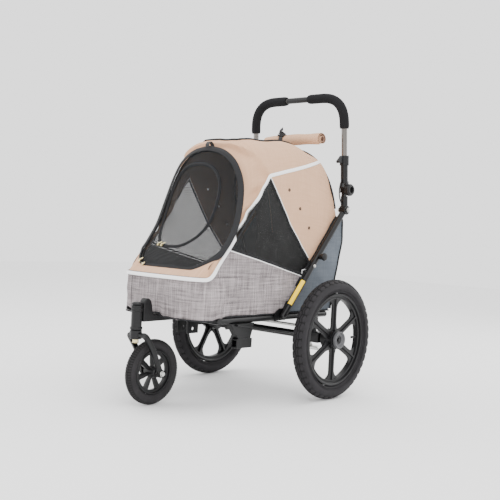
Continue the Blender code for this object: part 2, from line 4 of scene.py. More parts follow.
# %% Load the frame
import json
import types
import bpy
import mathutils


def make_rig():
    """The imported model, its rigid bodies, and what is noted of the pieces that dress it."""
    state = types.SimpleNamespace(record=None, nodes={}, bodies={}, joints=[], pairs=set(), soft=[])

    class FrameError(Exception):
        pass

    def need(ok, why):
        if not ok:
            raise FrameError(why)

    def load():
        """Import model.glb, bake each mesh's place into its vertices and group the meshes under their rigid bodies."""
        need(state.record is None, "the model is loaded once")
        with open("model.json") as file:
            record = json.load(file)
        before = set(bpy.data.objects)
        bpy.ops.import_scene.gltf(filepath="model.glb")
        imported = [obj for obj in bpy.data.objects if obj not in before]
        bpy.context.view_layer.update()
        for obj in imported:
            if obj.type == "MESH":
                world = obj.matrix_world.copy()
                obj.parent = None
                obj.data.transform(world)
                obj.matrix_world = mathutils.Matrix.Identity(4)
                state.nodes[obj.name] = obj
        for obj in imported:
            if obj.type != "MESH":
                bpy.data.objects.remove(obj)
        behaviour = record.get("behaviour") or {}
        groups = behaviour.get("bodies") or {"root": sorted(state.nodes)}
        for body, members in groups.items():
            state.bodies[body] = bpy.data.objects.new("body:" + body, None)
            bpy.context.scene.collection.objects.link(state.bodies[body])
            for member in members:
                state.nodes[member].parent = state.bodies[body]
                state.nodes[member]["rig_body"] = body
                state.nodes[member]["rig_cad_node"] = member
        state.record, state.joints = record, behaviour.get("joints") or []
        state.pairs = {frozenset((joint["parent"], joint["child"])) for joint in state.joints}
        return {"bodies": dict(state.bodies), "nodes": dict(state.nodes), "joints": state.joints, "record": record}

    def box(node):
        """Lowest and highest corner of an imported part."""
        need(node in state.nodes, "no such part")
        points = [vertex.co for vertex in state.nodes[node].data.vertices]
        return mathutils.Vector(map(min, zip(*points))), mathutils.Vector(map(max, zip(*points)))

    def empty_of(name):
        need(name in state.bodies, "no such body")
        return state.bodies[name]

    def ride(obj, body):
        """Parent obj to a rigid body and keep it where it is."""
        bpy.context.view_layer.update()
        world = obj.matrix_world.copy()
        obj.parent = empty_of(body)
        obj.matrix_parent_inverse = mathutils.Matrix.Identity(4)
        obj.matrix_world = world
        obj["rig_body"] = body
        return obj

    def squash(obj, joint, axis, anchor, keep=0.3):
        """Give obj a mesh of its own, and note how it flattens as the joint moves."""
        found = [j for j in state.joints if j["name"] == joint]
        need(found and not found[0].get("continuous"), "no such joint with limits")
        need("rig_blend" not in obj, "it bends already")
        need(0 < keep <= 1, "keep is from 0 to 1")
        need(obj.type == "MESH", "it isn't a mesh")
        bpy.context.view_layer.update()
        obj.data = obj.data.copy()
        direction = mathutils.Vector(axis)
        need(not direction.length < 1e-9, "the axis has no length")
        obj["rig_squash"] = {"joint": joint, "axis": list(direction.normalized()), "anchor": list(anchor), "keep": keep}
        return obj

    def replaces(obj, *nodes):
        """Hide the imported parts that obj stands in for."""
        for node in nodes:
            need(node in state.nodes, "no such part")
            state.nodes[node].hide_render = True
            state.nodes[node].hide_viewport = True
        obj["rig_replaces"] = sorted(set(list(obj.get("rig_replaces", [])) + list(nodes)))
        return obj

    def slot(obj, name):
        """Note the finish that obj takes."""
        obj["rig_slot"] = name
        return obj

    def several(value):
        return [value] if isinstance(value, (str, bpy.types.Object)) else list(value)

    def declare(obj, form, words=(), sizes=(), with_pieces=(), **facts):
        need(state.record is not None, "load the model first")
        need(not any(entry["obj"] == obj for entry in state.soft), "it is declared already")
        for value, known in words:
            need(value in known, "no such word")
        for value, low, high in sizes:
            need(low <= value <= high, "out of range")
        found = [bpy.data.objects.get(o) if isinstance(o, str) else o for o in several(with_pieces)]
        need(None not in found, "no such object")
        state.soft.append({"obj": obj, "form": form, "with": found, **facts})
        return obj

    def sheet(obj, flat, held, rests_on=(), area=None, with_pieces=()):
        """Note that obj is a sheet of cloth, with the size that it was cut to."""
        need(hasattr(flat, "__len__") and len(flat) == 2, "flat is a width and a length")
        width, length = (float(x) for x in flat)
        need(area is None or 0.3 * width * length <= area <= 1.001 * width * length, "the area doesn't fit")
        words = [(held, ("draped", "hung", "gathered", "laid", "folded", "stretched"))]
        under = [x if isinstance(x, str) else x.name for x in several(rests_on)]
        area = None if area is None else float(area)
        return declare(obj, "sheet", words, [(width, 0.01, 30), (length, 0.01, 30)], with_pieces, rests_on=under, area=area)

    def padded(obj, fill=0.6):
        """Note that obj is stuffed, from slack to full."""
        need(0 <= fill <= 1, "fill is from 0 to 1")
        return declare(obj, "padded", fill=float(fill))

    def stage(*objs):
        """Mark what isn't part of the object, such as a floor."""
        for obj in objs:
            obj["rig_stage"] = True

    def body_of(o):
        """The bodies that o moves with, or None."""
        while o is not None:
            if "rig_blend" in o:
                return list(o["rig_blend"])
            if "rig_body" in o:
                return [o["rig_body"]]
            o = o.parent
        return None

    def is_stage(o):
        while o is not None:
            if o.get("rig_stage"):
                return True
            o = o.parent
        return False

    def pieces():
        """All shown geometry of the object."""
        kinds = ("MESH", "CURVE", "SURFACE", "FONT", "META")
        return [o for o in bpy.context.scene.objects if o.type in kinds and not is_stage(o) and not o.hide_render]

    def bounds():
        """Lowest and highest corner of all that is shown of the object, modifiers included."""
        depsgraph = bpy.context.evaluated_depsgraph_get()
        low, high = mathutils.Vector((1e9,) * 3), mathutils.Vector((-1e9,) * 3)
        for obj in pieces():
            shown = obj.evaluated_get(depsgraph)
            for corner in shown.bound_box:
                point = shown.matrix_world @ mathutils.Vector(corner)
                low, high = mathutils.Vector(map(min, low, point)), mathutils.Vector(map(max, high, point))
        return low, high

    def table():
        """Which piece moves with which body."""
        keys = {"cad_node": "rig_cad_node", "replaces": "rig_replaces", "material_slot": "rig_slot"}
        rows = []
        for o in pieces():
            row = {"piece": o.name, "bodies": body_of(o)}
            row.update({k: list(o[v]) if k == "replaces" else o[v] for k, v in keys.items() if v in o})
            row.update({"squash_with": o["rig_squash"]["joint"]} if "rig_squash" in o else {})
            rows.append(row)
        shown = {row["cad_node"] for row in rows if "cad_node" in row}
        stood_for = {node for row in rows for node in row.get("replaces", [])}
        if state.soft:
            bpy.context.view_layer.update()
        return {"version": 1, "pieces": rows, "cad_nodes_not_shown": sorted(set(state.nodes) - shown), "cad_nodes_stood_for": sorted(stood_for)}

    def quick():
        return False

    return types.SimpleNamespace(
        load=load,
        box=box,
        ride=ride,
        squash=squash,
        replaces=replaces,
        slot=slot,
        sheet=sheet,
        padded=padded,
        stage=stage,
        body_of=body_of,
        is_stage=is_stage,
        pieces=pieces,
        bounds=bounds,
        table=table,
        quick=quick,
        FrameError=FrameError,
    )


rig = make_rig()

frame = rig.load()

import json
import math

import bmesh
import bpy
import numpy as np
from mathutils import Matrix, Vector, noise
from mathutils.bvhtree import BVHTree

frame_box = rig.bounds()
MM = 0.001
LEFT_RIGHT = (("_left", 1), ("_right", -1))


def middle_of(node):
    low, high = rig.box(node)
    return (Vector(low) + Vector(high)) / 2


AXLE_Y = middle_of("rear_axle_beam").y
TRACK = middle_of("rear_tyre_left").x
REAR_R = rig.box("rear_tyre_left")[1][2] / 2
CASTER = middle_of("front_tyre")
FRONT_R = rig.box("front_tyre")[1][2] / 2
HEAD_Y = middle_of("steering_head").y
print("rear wheel", round(REAR_R, 3), "front wheel", round(FRONT_R, 3), "axle y", round(AXLE_Y, 3))

# %% [markdown]
# ## Camera, floor and light
# A long lens, a little above the wheels, keeps their ellipses true. The tilt of a hand-held camera is a roll
# about its own axis, so the camera's matrix is built from three directions: right, up and back.

# %% Camera
AZIMUTH, PITCH, ROLL = math.radians(41.38), math.radians(1.5), math.radians(2.94)
EYE = Vector((1.8532, -2.2258 + AXLE_Y, 0.5544))
FOCAL_MM = 58.52


def aim_camera():
    look = Vector((-math.sin(AZIMUTH) * math.cos(PITCH), math.cos(AZIMUTH) * math.cos(PITCH),
                   -math.sin(PITCH)))
    level = look.cross(Vector((0, 0, 1))).normalized()
    upright = level.cross(look)
    right = level * math.cos(ROLL) + upright * math.sin(ROLL)
    up = upright * math.cos(ROLL) - level * math.sin(ROLL)
    data = bpy.data.cameras.new("camera")
    data.lens, data.sensor_width, data.sensor_fit = FOCAL_MM, 36.0, "HORIZONTAL"
    camera = bpy.data.objects.new("camera", data)
    bpy.context.scene.collection.objects.link(camera)
    turn = Matrix((right, up, -look)).transposed().to_4x4()
    camera.matrix_world = Matrix.Translation(EYE) @ turn
    bpy.context.scene.camera = camera
    return camera


print("camera", aim_camera().location)


# %% Studio
def simple_material(name, colour, roughness):
    made = bpy.data.materials.new(name)
    made.use_nodes = True
    shader = made.node_tree.nodes["Principled BSDF"]
    shader.inputs["Base Color"].default_value = (*colour, 1)
    shader.inputs["Roughness"].default_value = roughness
    return made


def build_studio():
    bpy.ops.object.select_all(action="DESELECT")
    bpy.ops.mesh.primitive_plane_add(size=14, location=(0, 0, -0.0005))
    floor = bpy.context.object
    floor.name = "studio_floor"
    floor.data.materials.append(simple_material("studio_white", (0.93, 0.93, 0.93), 0.85))
    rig.stage(floor)
    world = bpy.data.worlds.new("studio_air")
    bpy.context.scene.world = world
    world.use_nodes = True
    world.node_tree.nodes["Background"].inputs["Color"].default_value = (1.0, 1.0, 1.0, 1)
    world.node_tree.nodes["Background"].inputs["Strength"].default_value = 1.9
    lamps = (
        ("key", (2.6, -2.4, 2.6), 60, 1.8),
        ("fill", (-2.6, -1.6, 1.8), 26, 2.2),
        ("top", (0.0, 0.2, 3.2), 40, 2.4),
        ("rear", (0.8, 2.8, 1.8), 26, 1.6),
    )
    for name, place, power, size in lamps:
        data = bpy.data.lights.new(name, "AREA")
        data.energy, data.size = power, size
        lamp = bpy.data.objects.new(name, data)
        bpy.context.scene.collection.objects.link(lamp)
        lamp.location = place
        lamp.rotation_euler = (Vector((0, 0, 0.45)) - Vector(place)).to_track_quat("-Z", "Y").to_euler()
    return len(lamps)


print("lamps", build_studio())

# %% [markdown]
# ## Finishes
# Each effect that several materials share is a node group with named inputs: a fine grain for moulded
# plastic and powder coat, and a two-way weave for cloth. A group gives out only colours, masks and heights.
# The Principled shader stays in each material, so its constants stay on its sockets.


# %% Node helpers
def group(name, inputs, outputs):
    """A shader group with (name, socket type, default) inputs and (name, socket type) outputs."""
    tree = bpy.data.node_groups.new(name, "ShaderNodeTree")
    for label, kind, value in inputs:
        socket = tree.interface.new_socket(label, in_out="INPUT", socket_type=kind)
        socket.default_value = value
    for label, kind in outputs:
        tree.interface.new_socket(label, in_out="OUTPUT", socket_type=kind)
    return tree, tree.nodes.new("NodeGroupInput"), tree.nodes.new("NodeGroupOutput")


def node(tree, kind, values=(), **settings):
    made = tree.nodes.new(kind)
    for key, value in settings.items():
        setattr(made, key, value)
    for key, value in dict(values).items():
        made.inputs[key].default_value = value
    return made


def wire(tree, source, target):
    tree.links.new(source, target)


FLOAT, COLOUR = "NodeSocketFloat", "NodeSocketColor"


def make_grain_group():
    """Fine moulded or powder-coated grain: a small colour shift, a roughness and a height."""
    inputs = [("Scale", FLOAT, 900.0), ("Base", COLOUR, (0.02, 0.02, 0.02, 1)), ("Rough", FLOAT, 0.45)]
    tree, enter, leave = group("Grain", inputs, [("Color", COLOUR), ("Roughness", FLOAT), ("Height", FLOAT)])
    place = node(tree, "ShaderNodeTexCoord")
    fine = node(tree, "ShaderNodeTexNoise", {"Detail": 3.0})
    broad = node(tree, "ShaderNodeTexNoise", {"Scale": 14.0, "Detail": 2.0})
    wire(tree, place.outputs["Object"], fine.inputs["Vector"])
    wire(tree, place.outputs["Object"], broad.inputs["Vector"])
    wire(tree, enter.outputs["Scale"], fine.inputs["Scale"])
    lift = node(tree, "ShaderNodeMapRange", {"To Min": 0.8, "To Max": 1.35})
    wire(tree, broad.outputs["Fac"], lift.inputs["Value"])
    tint = node(tree, "ShaderNodeVectorMath", operation="SCALE")
    wire(tree, enter.outputs["Base"], tint.inputs[0])
    wire(tree, lift.outputs["Result"], tint.inputs["Scale"])
    wire(tree, tint.outputs[0], leave.inputs["Color"])
    shift = node(tree, "ShaderNodeMapRange", {"To Min": -0.07, "To Max": 0.09})
    wire(tree, broad.outputs["Fac"], shift.inputs["Value"])
    total = node(tree, "ShaderNodeMath", operation="ADD")
    wire(tree, enter.outputs["Rough"], total.inputs[0])
    wire(tree, shift.outputs["Result"], total.inputs[1])
    wire(tree, total.outputs[0], leave.inputs["Roughness"])
    wire(tree, fine.outputs["Fac"], leave.inputs["Height"])
    return tree


def make_weave_group():
    """Plain weave on the UV map: thread height, a thread mask and slubby noise along each thread."""
    inputs = [("Pitch", FLOAT, 0.6)]
    outputs = [("Height", FLOAT), ("Warp", FLOAT), ("Weft", FLOAT), ("Over", FLOAT)]
    tree, enter, leave = group("Weave", inputs, outputs)
    place = node(tree, "ShaderNodeUVMap", uv_map="cloth")
    parts = node(tree, "ShaderNodeSeparateXYZ")
    wire(tree, place.outputs["UV"], parts.inputs[0])
    waves = []
    for axis in ("X", "Y"):
        turns = node(tree, "ShaderNodeMath", operation="DIVIDE")
        wire(tree, parts.outputs[axis], turns.inputs[0])
        wire(tree, enter.outputs["Pitch"], turns.inputs[1])
        angle = node(tree, "ShaderNodeMath", {1: math.pi}, operation="MULTIPLY")
        wire(tree, turns.outputs[0], angle.inputs[0])
        wave = node(tree, "ShaderNodeMath", operation="SINE")
        wire(tree, angle.outputs[0], wave.inputs[0])
        waves.append(wave)
    product = node(tree, "ShaderNodeMath", operation="MULTIPLY")
    wire(tree, waves[0].outputs[0], product.inputs[0])
    wire(tree, waves[1].outputs[0], product.inputs[1])
    over = node(tree, "ShaderNodeMapRange", {"From Min": -0.25, "From Max": 0.25})
    wire(tree, product.outputs[0], over.inputs["Value"])
    wire(tree, over.outputs["Result"], leave.inputs["Over"])
    height = node(tree, "ShaderNodeMath", operation="ABSOLUTE")
    wire(tree, product.outputs[0], height.inputs[0])
    wire(tree, height.outputs[0], leave.inputs["Height"])
    for label, stretch in (("Warp", (0.17, 0.009, 1)), ("Weft", (0.009, 0.17, 1))):
        run = node(tree, "ShaderNodeMapping", {"Scale": stretch})
        wire(tree, place.outputs["UV"], run.inputs["Vector"])
        slub = node(tree, "ShaderNodeTexNoise", {"Scale": 1.0, "Detail": 5.0, "Roughness": 0.70})
        wire(tree, run.outputs[0], slub.inputs["Vector"])
        wire(tree, slub.outputs["Fac"], leave.inputs[label])
    return tree


GRAIN, WEAVE = make_grain_group(), make_weave_group()
print("groups", GRAIN.name, WEAVE.name)


# %% Hard finishes
def start_material(name, roughness=0.5, metallic=0.0, specular=0.5):
    made = bpy.data.materials.new(name)
    made.use_nodes = True
    tree = made.node_tree
    shader = tree.nodes["Principled BSDF"]
    shader.inputs["Roughness"].default_value = roughness
    shader.inputs["Metallic"].default_value = metallic
    shader.inputs["Specular IOR Level"].default_value = specular
    return made, tree, shader


def bump(tree, shader, height, strength, distance):
    made = node(tree, "ShaderNodeBump", {"Strength": strength, "Distance": distance})
    wire(tree, height, made.inputs["Height"])
    wire(tree, made.outputs["Normal"], shader.inputs["Normal"])


def grained(name, colour, roughness, metallic, scale, depth, specular=0.5):
    """A hard finish with the shared grain: powder coat, moulded plastic, foam or plated steel."""
    made, tree, shader = start_material(name, roughness, metallic, specular)
    grain = node(tree, "ShaderNodeGroup", node_tree=GRAIN)
    grain.inputs["Scale"].default_value = scale
    grain.inputs["Base"].default_value = (*colour, 1)
    grain.inputs["Rough"].default_value = roughness
    wire(tree, grain.outputs["Color"], shader.inputs["Base Color"])
    wire(tree, grain.outputs["Roughness"], shader.inputs["Roughness"])
    bump(tree, shader, grain.outputs["Height"], 0.5, depth)
    return made


def make_rubber(name, colour):
    """Tyre rubber: dark and matt, with paler dust in a low, cloudy pattern."""
    made, tree, shader = start_material(name, 0.82, 0.0, 0.32)
    place = node(tree, "ShaderNodeTexCoord")
    cloud = node(tree, "ShaderNodeTexNoise", {"Scale": 26.0, "Detail": 5.0, "Roughness": 0.65})
    wire(tree, place.outputs["Object"], cloud.inputs["Vector"])
    ramp = node(tree, "ShaderNodeValToRGB")
    ramp.color_ramp.elements[0].position, ramp.color_ramp.elements[1].position = 0.35, 0.78
    ramp.color_ramp.elements[0].color = (*colour, 1)
    ramp.color_ramp.elements[1].color = (*[c * 1.75 for c in colour], 1)
    wire(tree, cloud.outputs["Fac"], ramp.inputs["Fac"])
    wire(tree, ramp.outputs["Color"], shader.inputs["Base Color"])
    fine = node(tree, "ShaderNodeTexNoise", {"Scale": 700.0, "Detail": 3.0})
    wire(tree, place.outputs["Object"], fine.inputs["Vector"])
    bump(tree, shader, fine.outputs["Fac"], 0.35, 0.3 * MM)
    return made


POWDER = grained("powder_coat_black", (0.0035, 0.0035, 0.004), 0.36, 0.0, 1400, 0.05 * MM, 0.32)
MOULDED = grained("moulded_black", (0.005, 0.005, 0.0055), 0.46, 0.0, 900, 0.12 * MM, 0.3)
RIM = grained("rim_plastic", (0.0045, 0.0043, 0.005), 0.40, 0.0, 700, 0.08 * MM, 0.3)
HUB_GREY = grained("hub_collar_grey", (0.085, 0.085, 0.090), 0.5, 0.0, 800, 0.08 * MM)
CHROME = grained("polished_steel", (0.52, 0.52, 0.54), 0.20, 1.0, 1800, 0.01 * MM)
ZINC = grained("zinc_plate", (0.60, 0.60, 0.58), 0.34, 1.0, 900, 0.04 * MM)
BRASS = grained("yellow_zinc", (0.72, 0.62, 0.36), 0.32, 1.0, 900, 0.04 * MM)
FOAM = grained("grip_foam", (0.010, 0.010, 0.011), 0.92, 0.0, 520, 0.5 * MM, 0.15)
TYRE = make_rubber("tyre_rubber", (0.012, 0.011, 0.0125))
# Darker rubber for the tread's grooves: painted shade in the recesses between the blocks.
PAINTED_GROOVE_SHADE = make_rubber("tread_groove", (0.002, 0.002, 0.002))
FRONT_TYRE = make_rubber("caster_rubber", (0.013, 0.012, 0.013))
BOARD = grained("floor_board_black", (0.03, 0.03, 0.03), 0.75, 0.0, 500, 0.2 * MM)
YELLOW = grained("reflector_yellow", (0.95, 0.62, 0.0), 0.55, 0.0, 1500, 0.03 * MM, 0.6)
print("hard finishes", len(bpy.data.materials))


# %% Cloth finishes
def woven(name, dark, light, pitch, depth, mix, roughness=0.9, sheen=0.12, blotch=0.18):
    """Woven cloth. mix is how far each thread's own shade goes from dark to light."""
    made, tree, shader = start_material(name, roughness, 0.0, 0.25)
    shader.inputs["Sheen Weight"].default_value = sheen
    shader.inputs["Sheen Roughness"].default_value = 0.5
    weave = node(tree, "ShaderNodeGroup", node_tree=WEAVE)
    weave.inputs["Pitch"].default_value = pitch
    thread = node(tree, "ShaderNodeMix", data_type="FLOAT")
    wire(tree, weave.outputs["Over"], thread.inputs["Factor"])
    wire(tree, weave.outputs["Warp"], thread.inputs["A"])
    wire(tree, weave.outputs["Weft"], thread.inputs["B"])
    spread = node(tree, "ShaderNodeMapRange", {"From Min": 0.5 - mix, "From Max": 0.5 + mix})
    wire(tree, thread.outputs["Result"], spread.inputs["Value"])
    place = node(tree, "ShaderNodeTexCoord")
    cloud = node(tree, "ShaderNodeTexNoise", {"Scale": 7.0, "Detail": 3.0})
    wire(tree, place.outputs["Object"], cloud.inputs["Vector"])
    shade = node(tree, "ShaderNodeMapRange", {"To Min": 1 - blotch, "To Max": 1 + blotch})
    wire(tree, cloud.outputs["Fac"], shade.inputs["Value"])
    colour = node(tree, "ShaderNodeMix", data_type="RGBA")
    colour.inputs["A"].default_value = (*dark, 1)
    colour.inputs["B"].default_value = (*light, 1)
    wire(tree, spread.outputs["Result"], colour.inputs["Factor"])
    tint = node(tree, "ShaderNodeVectorMath", operation="SCALE")
    wire(tree, colour.outputs["Result"], tint.inputs[0])
    wire(tree, shade.outputs["Result"], tint.inputs["Scale"])
    wire(tree, tint.outputs[0], shader.inputs["Base Color"])
    bump(tree, shader, weave.outputs["Height"], 0.6, depth)
    return made


def netting(name, thread, pitch, cover):
    """See-through mesh: threads of the UV grid are solid, and alpha opens the holes between them."""
    made, tree, shader = start_material(name, 0.6, 0.0, 0.4)
    shader.inputs["Base Color"].default_value = (*thread, 1)
    place = node(tree, "ShaderNodeUVMap", uv_map="cloth")
    scale = node(tree, "ShaderNodeVectorMath", operation="SCALE")
    scale.inputs["Scale"].default_value = 1 / pitch
    wire(tree, place.outputs["UV"], scale.inputs[0])
    cell = node(tree, "ShaderNodeVectorMath", operation="FRACTION")
    wire(tree, scale.outputs[0], cell.inputs[0])
    away = node(tree, "ShaderNodeVectorMath", operation="DISTANCE")
    flat = node(tree, "ShaderNodeVectorMath", {1: (1, 1, 0)}, operation="MULTIPLY")
    wire(tree, cell.outputs[0], flat.inputs[0])
    wire(tree, flat.outputs[0], away.inputs[0])
    away.inputs[1].default_value = (0.5, 0.5, 0)
    hole = math.sqrt((1 - cover) / math.pi)
    solid = node(tree, "ShaderNodeMapRange", {"From Min": hole * 0.9, "From Max": hole * 1.1})
    wire(tree, away.outputs["Value"], solid.inputs["Value"])
    wire(tree, solid.outputs["Result"], shader.inputs["Alpha"])
    bump(tree, shader, solid.outputs["Result"], 0.4, 0.2 * MM)
    return made


MELANGE = woven("grey_melange", (0.028, 0.021, 0.023), (0.50, 0.445, 0.450), 1.1, 0.35 * MM, 0.19, 0.94,
                0.03, 0.2)
BEIGE = woven("beige_cloth", (0.50, 0.290, 0.170), (0.70, 0.440, 0.285), 0.7, 0.15 * MM, 0.35, 0.86, 0.04,
              0.08)
SLATE = woven("slate_cloth", (0.060, 0.070, 0.086), (0.150, 0.172, 0.200), 0.8, 0.15 * MM, 0.35, 0.88,
              0.05, 0.2)
# Brown for the inner face of the beige panels: partly the lining's own beige-brown, partly painted shade, set much
# darker for the cabin's shaded inside.
SHADED_LINING = woven("brown_lining", (0.15, 0.090, 0.058), (0.24, 0.155, 0.10), 0.8, 0.1 * MM, 0.35, 0.9, 0.0, 0.15)
# Near-black grey for the inner face of the mélange and back panels: partly the lining's own dark grey, partly painted
# shade for the cabin's shaded inside. It also colours the thin seam lines on the nose.
CHARCOAL_SEAMS_AND_SHADED_LINING = woven("charcoal_lining", (0.018, 0.018, 0.019), (0.05, 0.05, 0.052), 0.8, 0.1 * MM, 0.35, 0.9,
                 0.0, 0.15)
THREAD = grained("sewing_thread", (0.62, 0.60, 0.58), 0.7, 0.0, 1500, 0.02 * MM, 0.3)
BINDING = woven("black_binding", (0.006, 0.006, 0.007), (0.022, 0.022, 0.024), 1.3, 0.25 * MM, 0.3, 0.7,
                0.0, 0.1)
ZIP_TAPE = woven("zip_tape", (0.006, 0.006, 0.007), (0.020, 0.020, 0.022), 0.9, 0.2 * MM, 0.3, 0.75, 0.0, 0.1)
WEBBING = woven("black_webbing", (0.012, 0.012, 0.013), (0.05, 0.05, 0.052), 1.8, 0.4 * MM, 0.3, 0.8, 0.1,
                0.1)
WHITE = woven("white_reflective", (0.90, 0.90, 0.90), (0.97, 0.97, 0.97), 0.9, 0.08 * MM, 0.4, 0.5, 0.0, 0.03)
NET = netting("black_netting", (0.008, 0.008, 0.009), 1.6, 0.40)
SIDE_NET = netting("side_netting", (0.006, 0.006, 0.006), 1.6, 0.46)
DENSE_NET = netting("dense_netting", (0.008, 0.008, 0.009), 1.6, 0.97)
ROOF_NET = netting("roof_netting", (0.010, 0.010, 0.011), 1.6, 0.80)
MAT_CLOTH = woven("mat_cloth", (0.17, 0.17, 0.17), (0.30, 0.30, 0.30), 0.9, 0.2 * MM, 0.3, 0.9, 0.15, 0.1)
print("cloth finishes", NET.name, MELANGE.name)

# %% [markdown]
# ## Shape tools
# Four tools make nearly every piece: a lathe for round parts, a sweep that carries a profile along a path,
# a loft through rows of points, and a plate with an outline. Each one lays a UV map called cloth, in
# millimetres, so that threads keep their real size on every panel.


# %% Tools
def at(x, y, z):
    """A point measured from the floor under the middle of the rear axle, as everything below is."""
    return Vector((x, y + AXLE_Y, z))


def select_only(obj):
    bpy.ops.object.select_all(action="DESELECT")
    obj.select_set(True)
    bpy.context.view_layer.objects.active = obj


def new_mesh():
    bm = bmesh.new()
    bm.loops.layers.uv.new("cloth")
    return bm


def add_piece(name, bm, materials, body, slot, replaces=(), smooth=35, outward=True):
    """Turns a bmesh into a finished piece that rides on a body of the frame."""
    if outward:
        bmesh.ops.recalc_face_normals(bm, faces=bm.faces)
    data = bpy.data.meshes.new(name)
    bm.to_mesh(data)
    bm.free()
    obj = bpy.data.objects.new(name, data)
    bpy.context.scene.collection.objects.link(obj)
    for made in materials if isinstance(materials, (list, tuple)) else [materials]:
        data.materials.append(made)
    select_only(obj)
    if smooth:
        bpy.ops.object.shade_smooth_by_angle(angle=math.radians(smooth))
    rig.ride(obj, body)
    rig.slot(obj, slot)
    if replaces:
        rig.replaces(obj, *replaces)
    return obj


def apply_all(obj):
    select_only(obj)
    for modifier in list(obj.modifiers):
        bpy.ops.object.modifier_apply(modifier=modifier.name)
    return obj


def fill(bm, corners, uvs, material=0):
    face = bm.faces.new(corners)
    layer = bm.loops.layers.uv["cloth"]
    for loop, uv in zip(face.loops, uvs):
        loop[layer].uv = uv
    face.material_index = material
    return face


def lay_map(bm, place):
    """Writes the cloth map anew: place gives each corner's place on the flat cloth."""
    layer = bm.loops.layers.uv["cloth"]
    for face in bm.faces:
        for loop in face.loops:
            u, v = place(loop.vert.co)
            loop[layer].uv = (u / MM, v / MM)


def loft(bm, rows, closed_rows=False, closed_turn=False, material=0, caps=False):
    """Faces between rows. closed_rows joins each row's ends, and closed_turn the last row to the first."""
    grid = [[bm.verts.new(p) for p in row] for row in rows]
    across = [0.0]
    for a, b in zip(rows[0], list(rows[0][1:]) + [rows[0][0]]):
        across.append(across[-1] + (Vector(b) - Vector(a)).length / MM)
    along, count = 0.0, len(rows[0])
    pairs = list(zip(range(len(rows)), list(range(1, len(rows))) + [0]))
    for i, j in pairs if closed_turn else pairs[:-1]:
        step = (Vector(rows[j][0]) - Vector(rows[i][0])).length / MM
        for k in range(count if closed_rows else count - 1):
            n = (k + 1) % count
            corners = (grid[i][k], grid[i][n], grid[j][n], grid[j][k])
            uvs = ((along, across[k]), (along, across[k + 1]), (along + step, across[k + 1]),
                   (along + step, across[k]))
            fill(bm, corners, uvs, material)
        along += step
    if caps:
        for row in (grid[0], grid[-1]):
            fill(bm, row, [(v.co.x / MM, v.co.z / MM) for v in row], material)
    return grid


def on_axis(axis, a, b, along):
    """World order for two values across an axis and one along it."""
    return {"X": (along, a, b), "Y": (a, along, b), "Z": (a, b, along)}[axis]


def lathe(bm, profile, centre, axis="X", steps=64, material=0):
    """Turns a closed profile of (radius, along) points round an axis through the centre."""
    rows = []
    for step in range(steps):
        angle = math.tau * step / steps
        row = []
        for radius, along in profile:
            offset = on_axis(axis, radius * math.cos(angle), radius * math.sin(angle), along)
            row.append(Vector(centre) + Vector(offset))
        rows.append(row)
    return loft(bm, rows, closed_rows=True, closed_turn=True, material=material)


def smooth_line(points, steps=8, closed=False):
    """A Catmull-Rom curve through the points."""
    points = [Vector(p) for p in points]
    count = len(points)
    made = []
    for i in range(count if closed else count - 1):
        if closed:
            a, b, c, d = (points[(i + k) % count] for k in (-1, 0, 1, 2))
        else:
            b, c = points[i], points[i + 1]
            a = points[i - 1] if i else b * 2 - c
            d = points[i + 2] if i + 2 < count else c * 2 - b
        for step in range(steps):
            t = step / steps
            square, cube = a * 2 - b * 5 + c * 4 - d, b * 3 - a - c * 3 + d
            made.append(0.5 * (b * 2 + (c - a) * t + square * t**2 + cube * t**3))
    if not closed:
        made.append(points[-1])
    return made


def even_line(points, gap):
    """The same line with points at an even distance."""
    out, left = [Vector(points[0])], gap
    for a, b in zip(points, points[1:]):
        length = (b - a).length
        while length > left:
            a = a.lerp(b, left / length)
            out.append(a)
            length, left = length - left, gap
        left -= length
    if (out[-1] - points[-1]).length > gap * 0.3:
        out.append(Vector(points[-1]))
    return out


def circle(radius, sides=12, squash=1.0):
    return [
        (radius * math.cos(math.tau * k / sides),
         radius * squash * math.sin(math.tau * k / sides)) for k in range(sides)
    ]


def ribbon(width, thick):
    """A flat tape: rounded edges, lying on the surface below it."""
    w, t = width / 2, thick
    return [(-w, 0), (-w, t * 0.6), (-w * 0.9, t), (w * 0.9, t), (w, t * 0.6), (w, 0)]


def sweep(bm, path, profile, normals=None, closed=False, material=0):
    """Carries a closed profile of (sideways, outward) points along the path."""
    path = [Vector(p) for p in path]
    count, rows = len(path), []
    hold = Vector((0, 0, 1))
    for i, point in enumerate(path):
        ahead = path[(i + 1) % count] if closed or i < count - 1 else point
        behind = path[i - 1] if closed or i else point
        tangent = (ahead - behind).normalized()
        out = Vector(normals[i]) if normals else hold
        out = out - tangent * out.dot(tangent)
        if out.length < 1e-4:
            out = tangent.orthogonal()
        out.normalize()
        hold = out
        side = tangent.cross(out)
        rows.append([point + side * a + out * b for a, b in profile])
    return loft(bm, rows, closed_rows=True, closed_turn=closed, material=material, caps=not closed)


def tube_piece(name, path, radius, look, body, slot, replaces=(), sides=20):
    bm = new_mesh()
    sweep(bm, path, circle(radius, sides))
    return add_piece(name, bm, look, body, slot, replaces)


def rounded(corners, bend, steps=8):
    """A path through the corners with each inner corner rounded."""
    corners = [Vector(c) for c in corners]
    path = [corners[0]]
    for a, b, c in zip(corners, corners[1:], corners[2:]):
        reach = min(bend, (a - b).length * 0.49, (c - b).length * 0.49)
        first, last = b + (a - b).normalized() * reach, b + (c - b).normalized() * reach
        for step in range(steps + 1):
            t = step / steps
            path.append(first * (1 - t) ** 2 + b * 2 * t * (1 - t) + last * t**2)
    return path + [corners[-1]]


def plate(bm, outline, low, high, axis="X", material=0):
    """A flat plate with this outline, from low to high along the axis."""
    rows = [[Vector(on_axis(axis, a, b, along)) for a, b in outline] for along in (low, high)]
    return loft(bm, rows, closed_rows=True, material=material, caps=True)


print("tools ready")

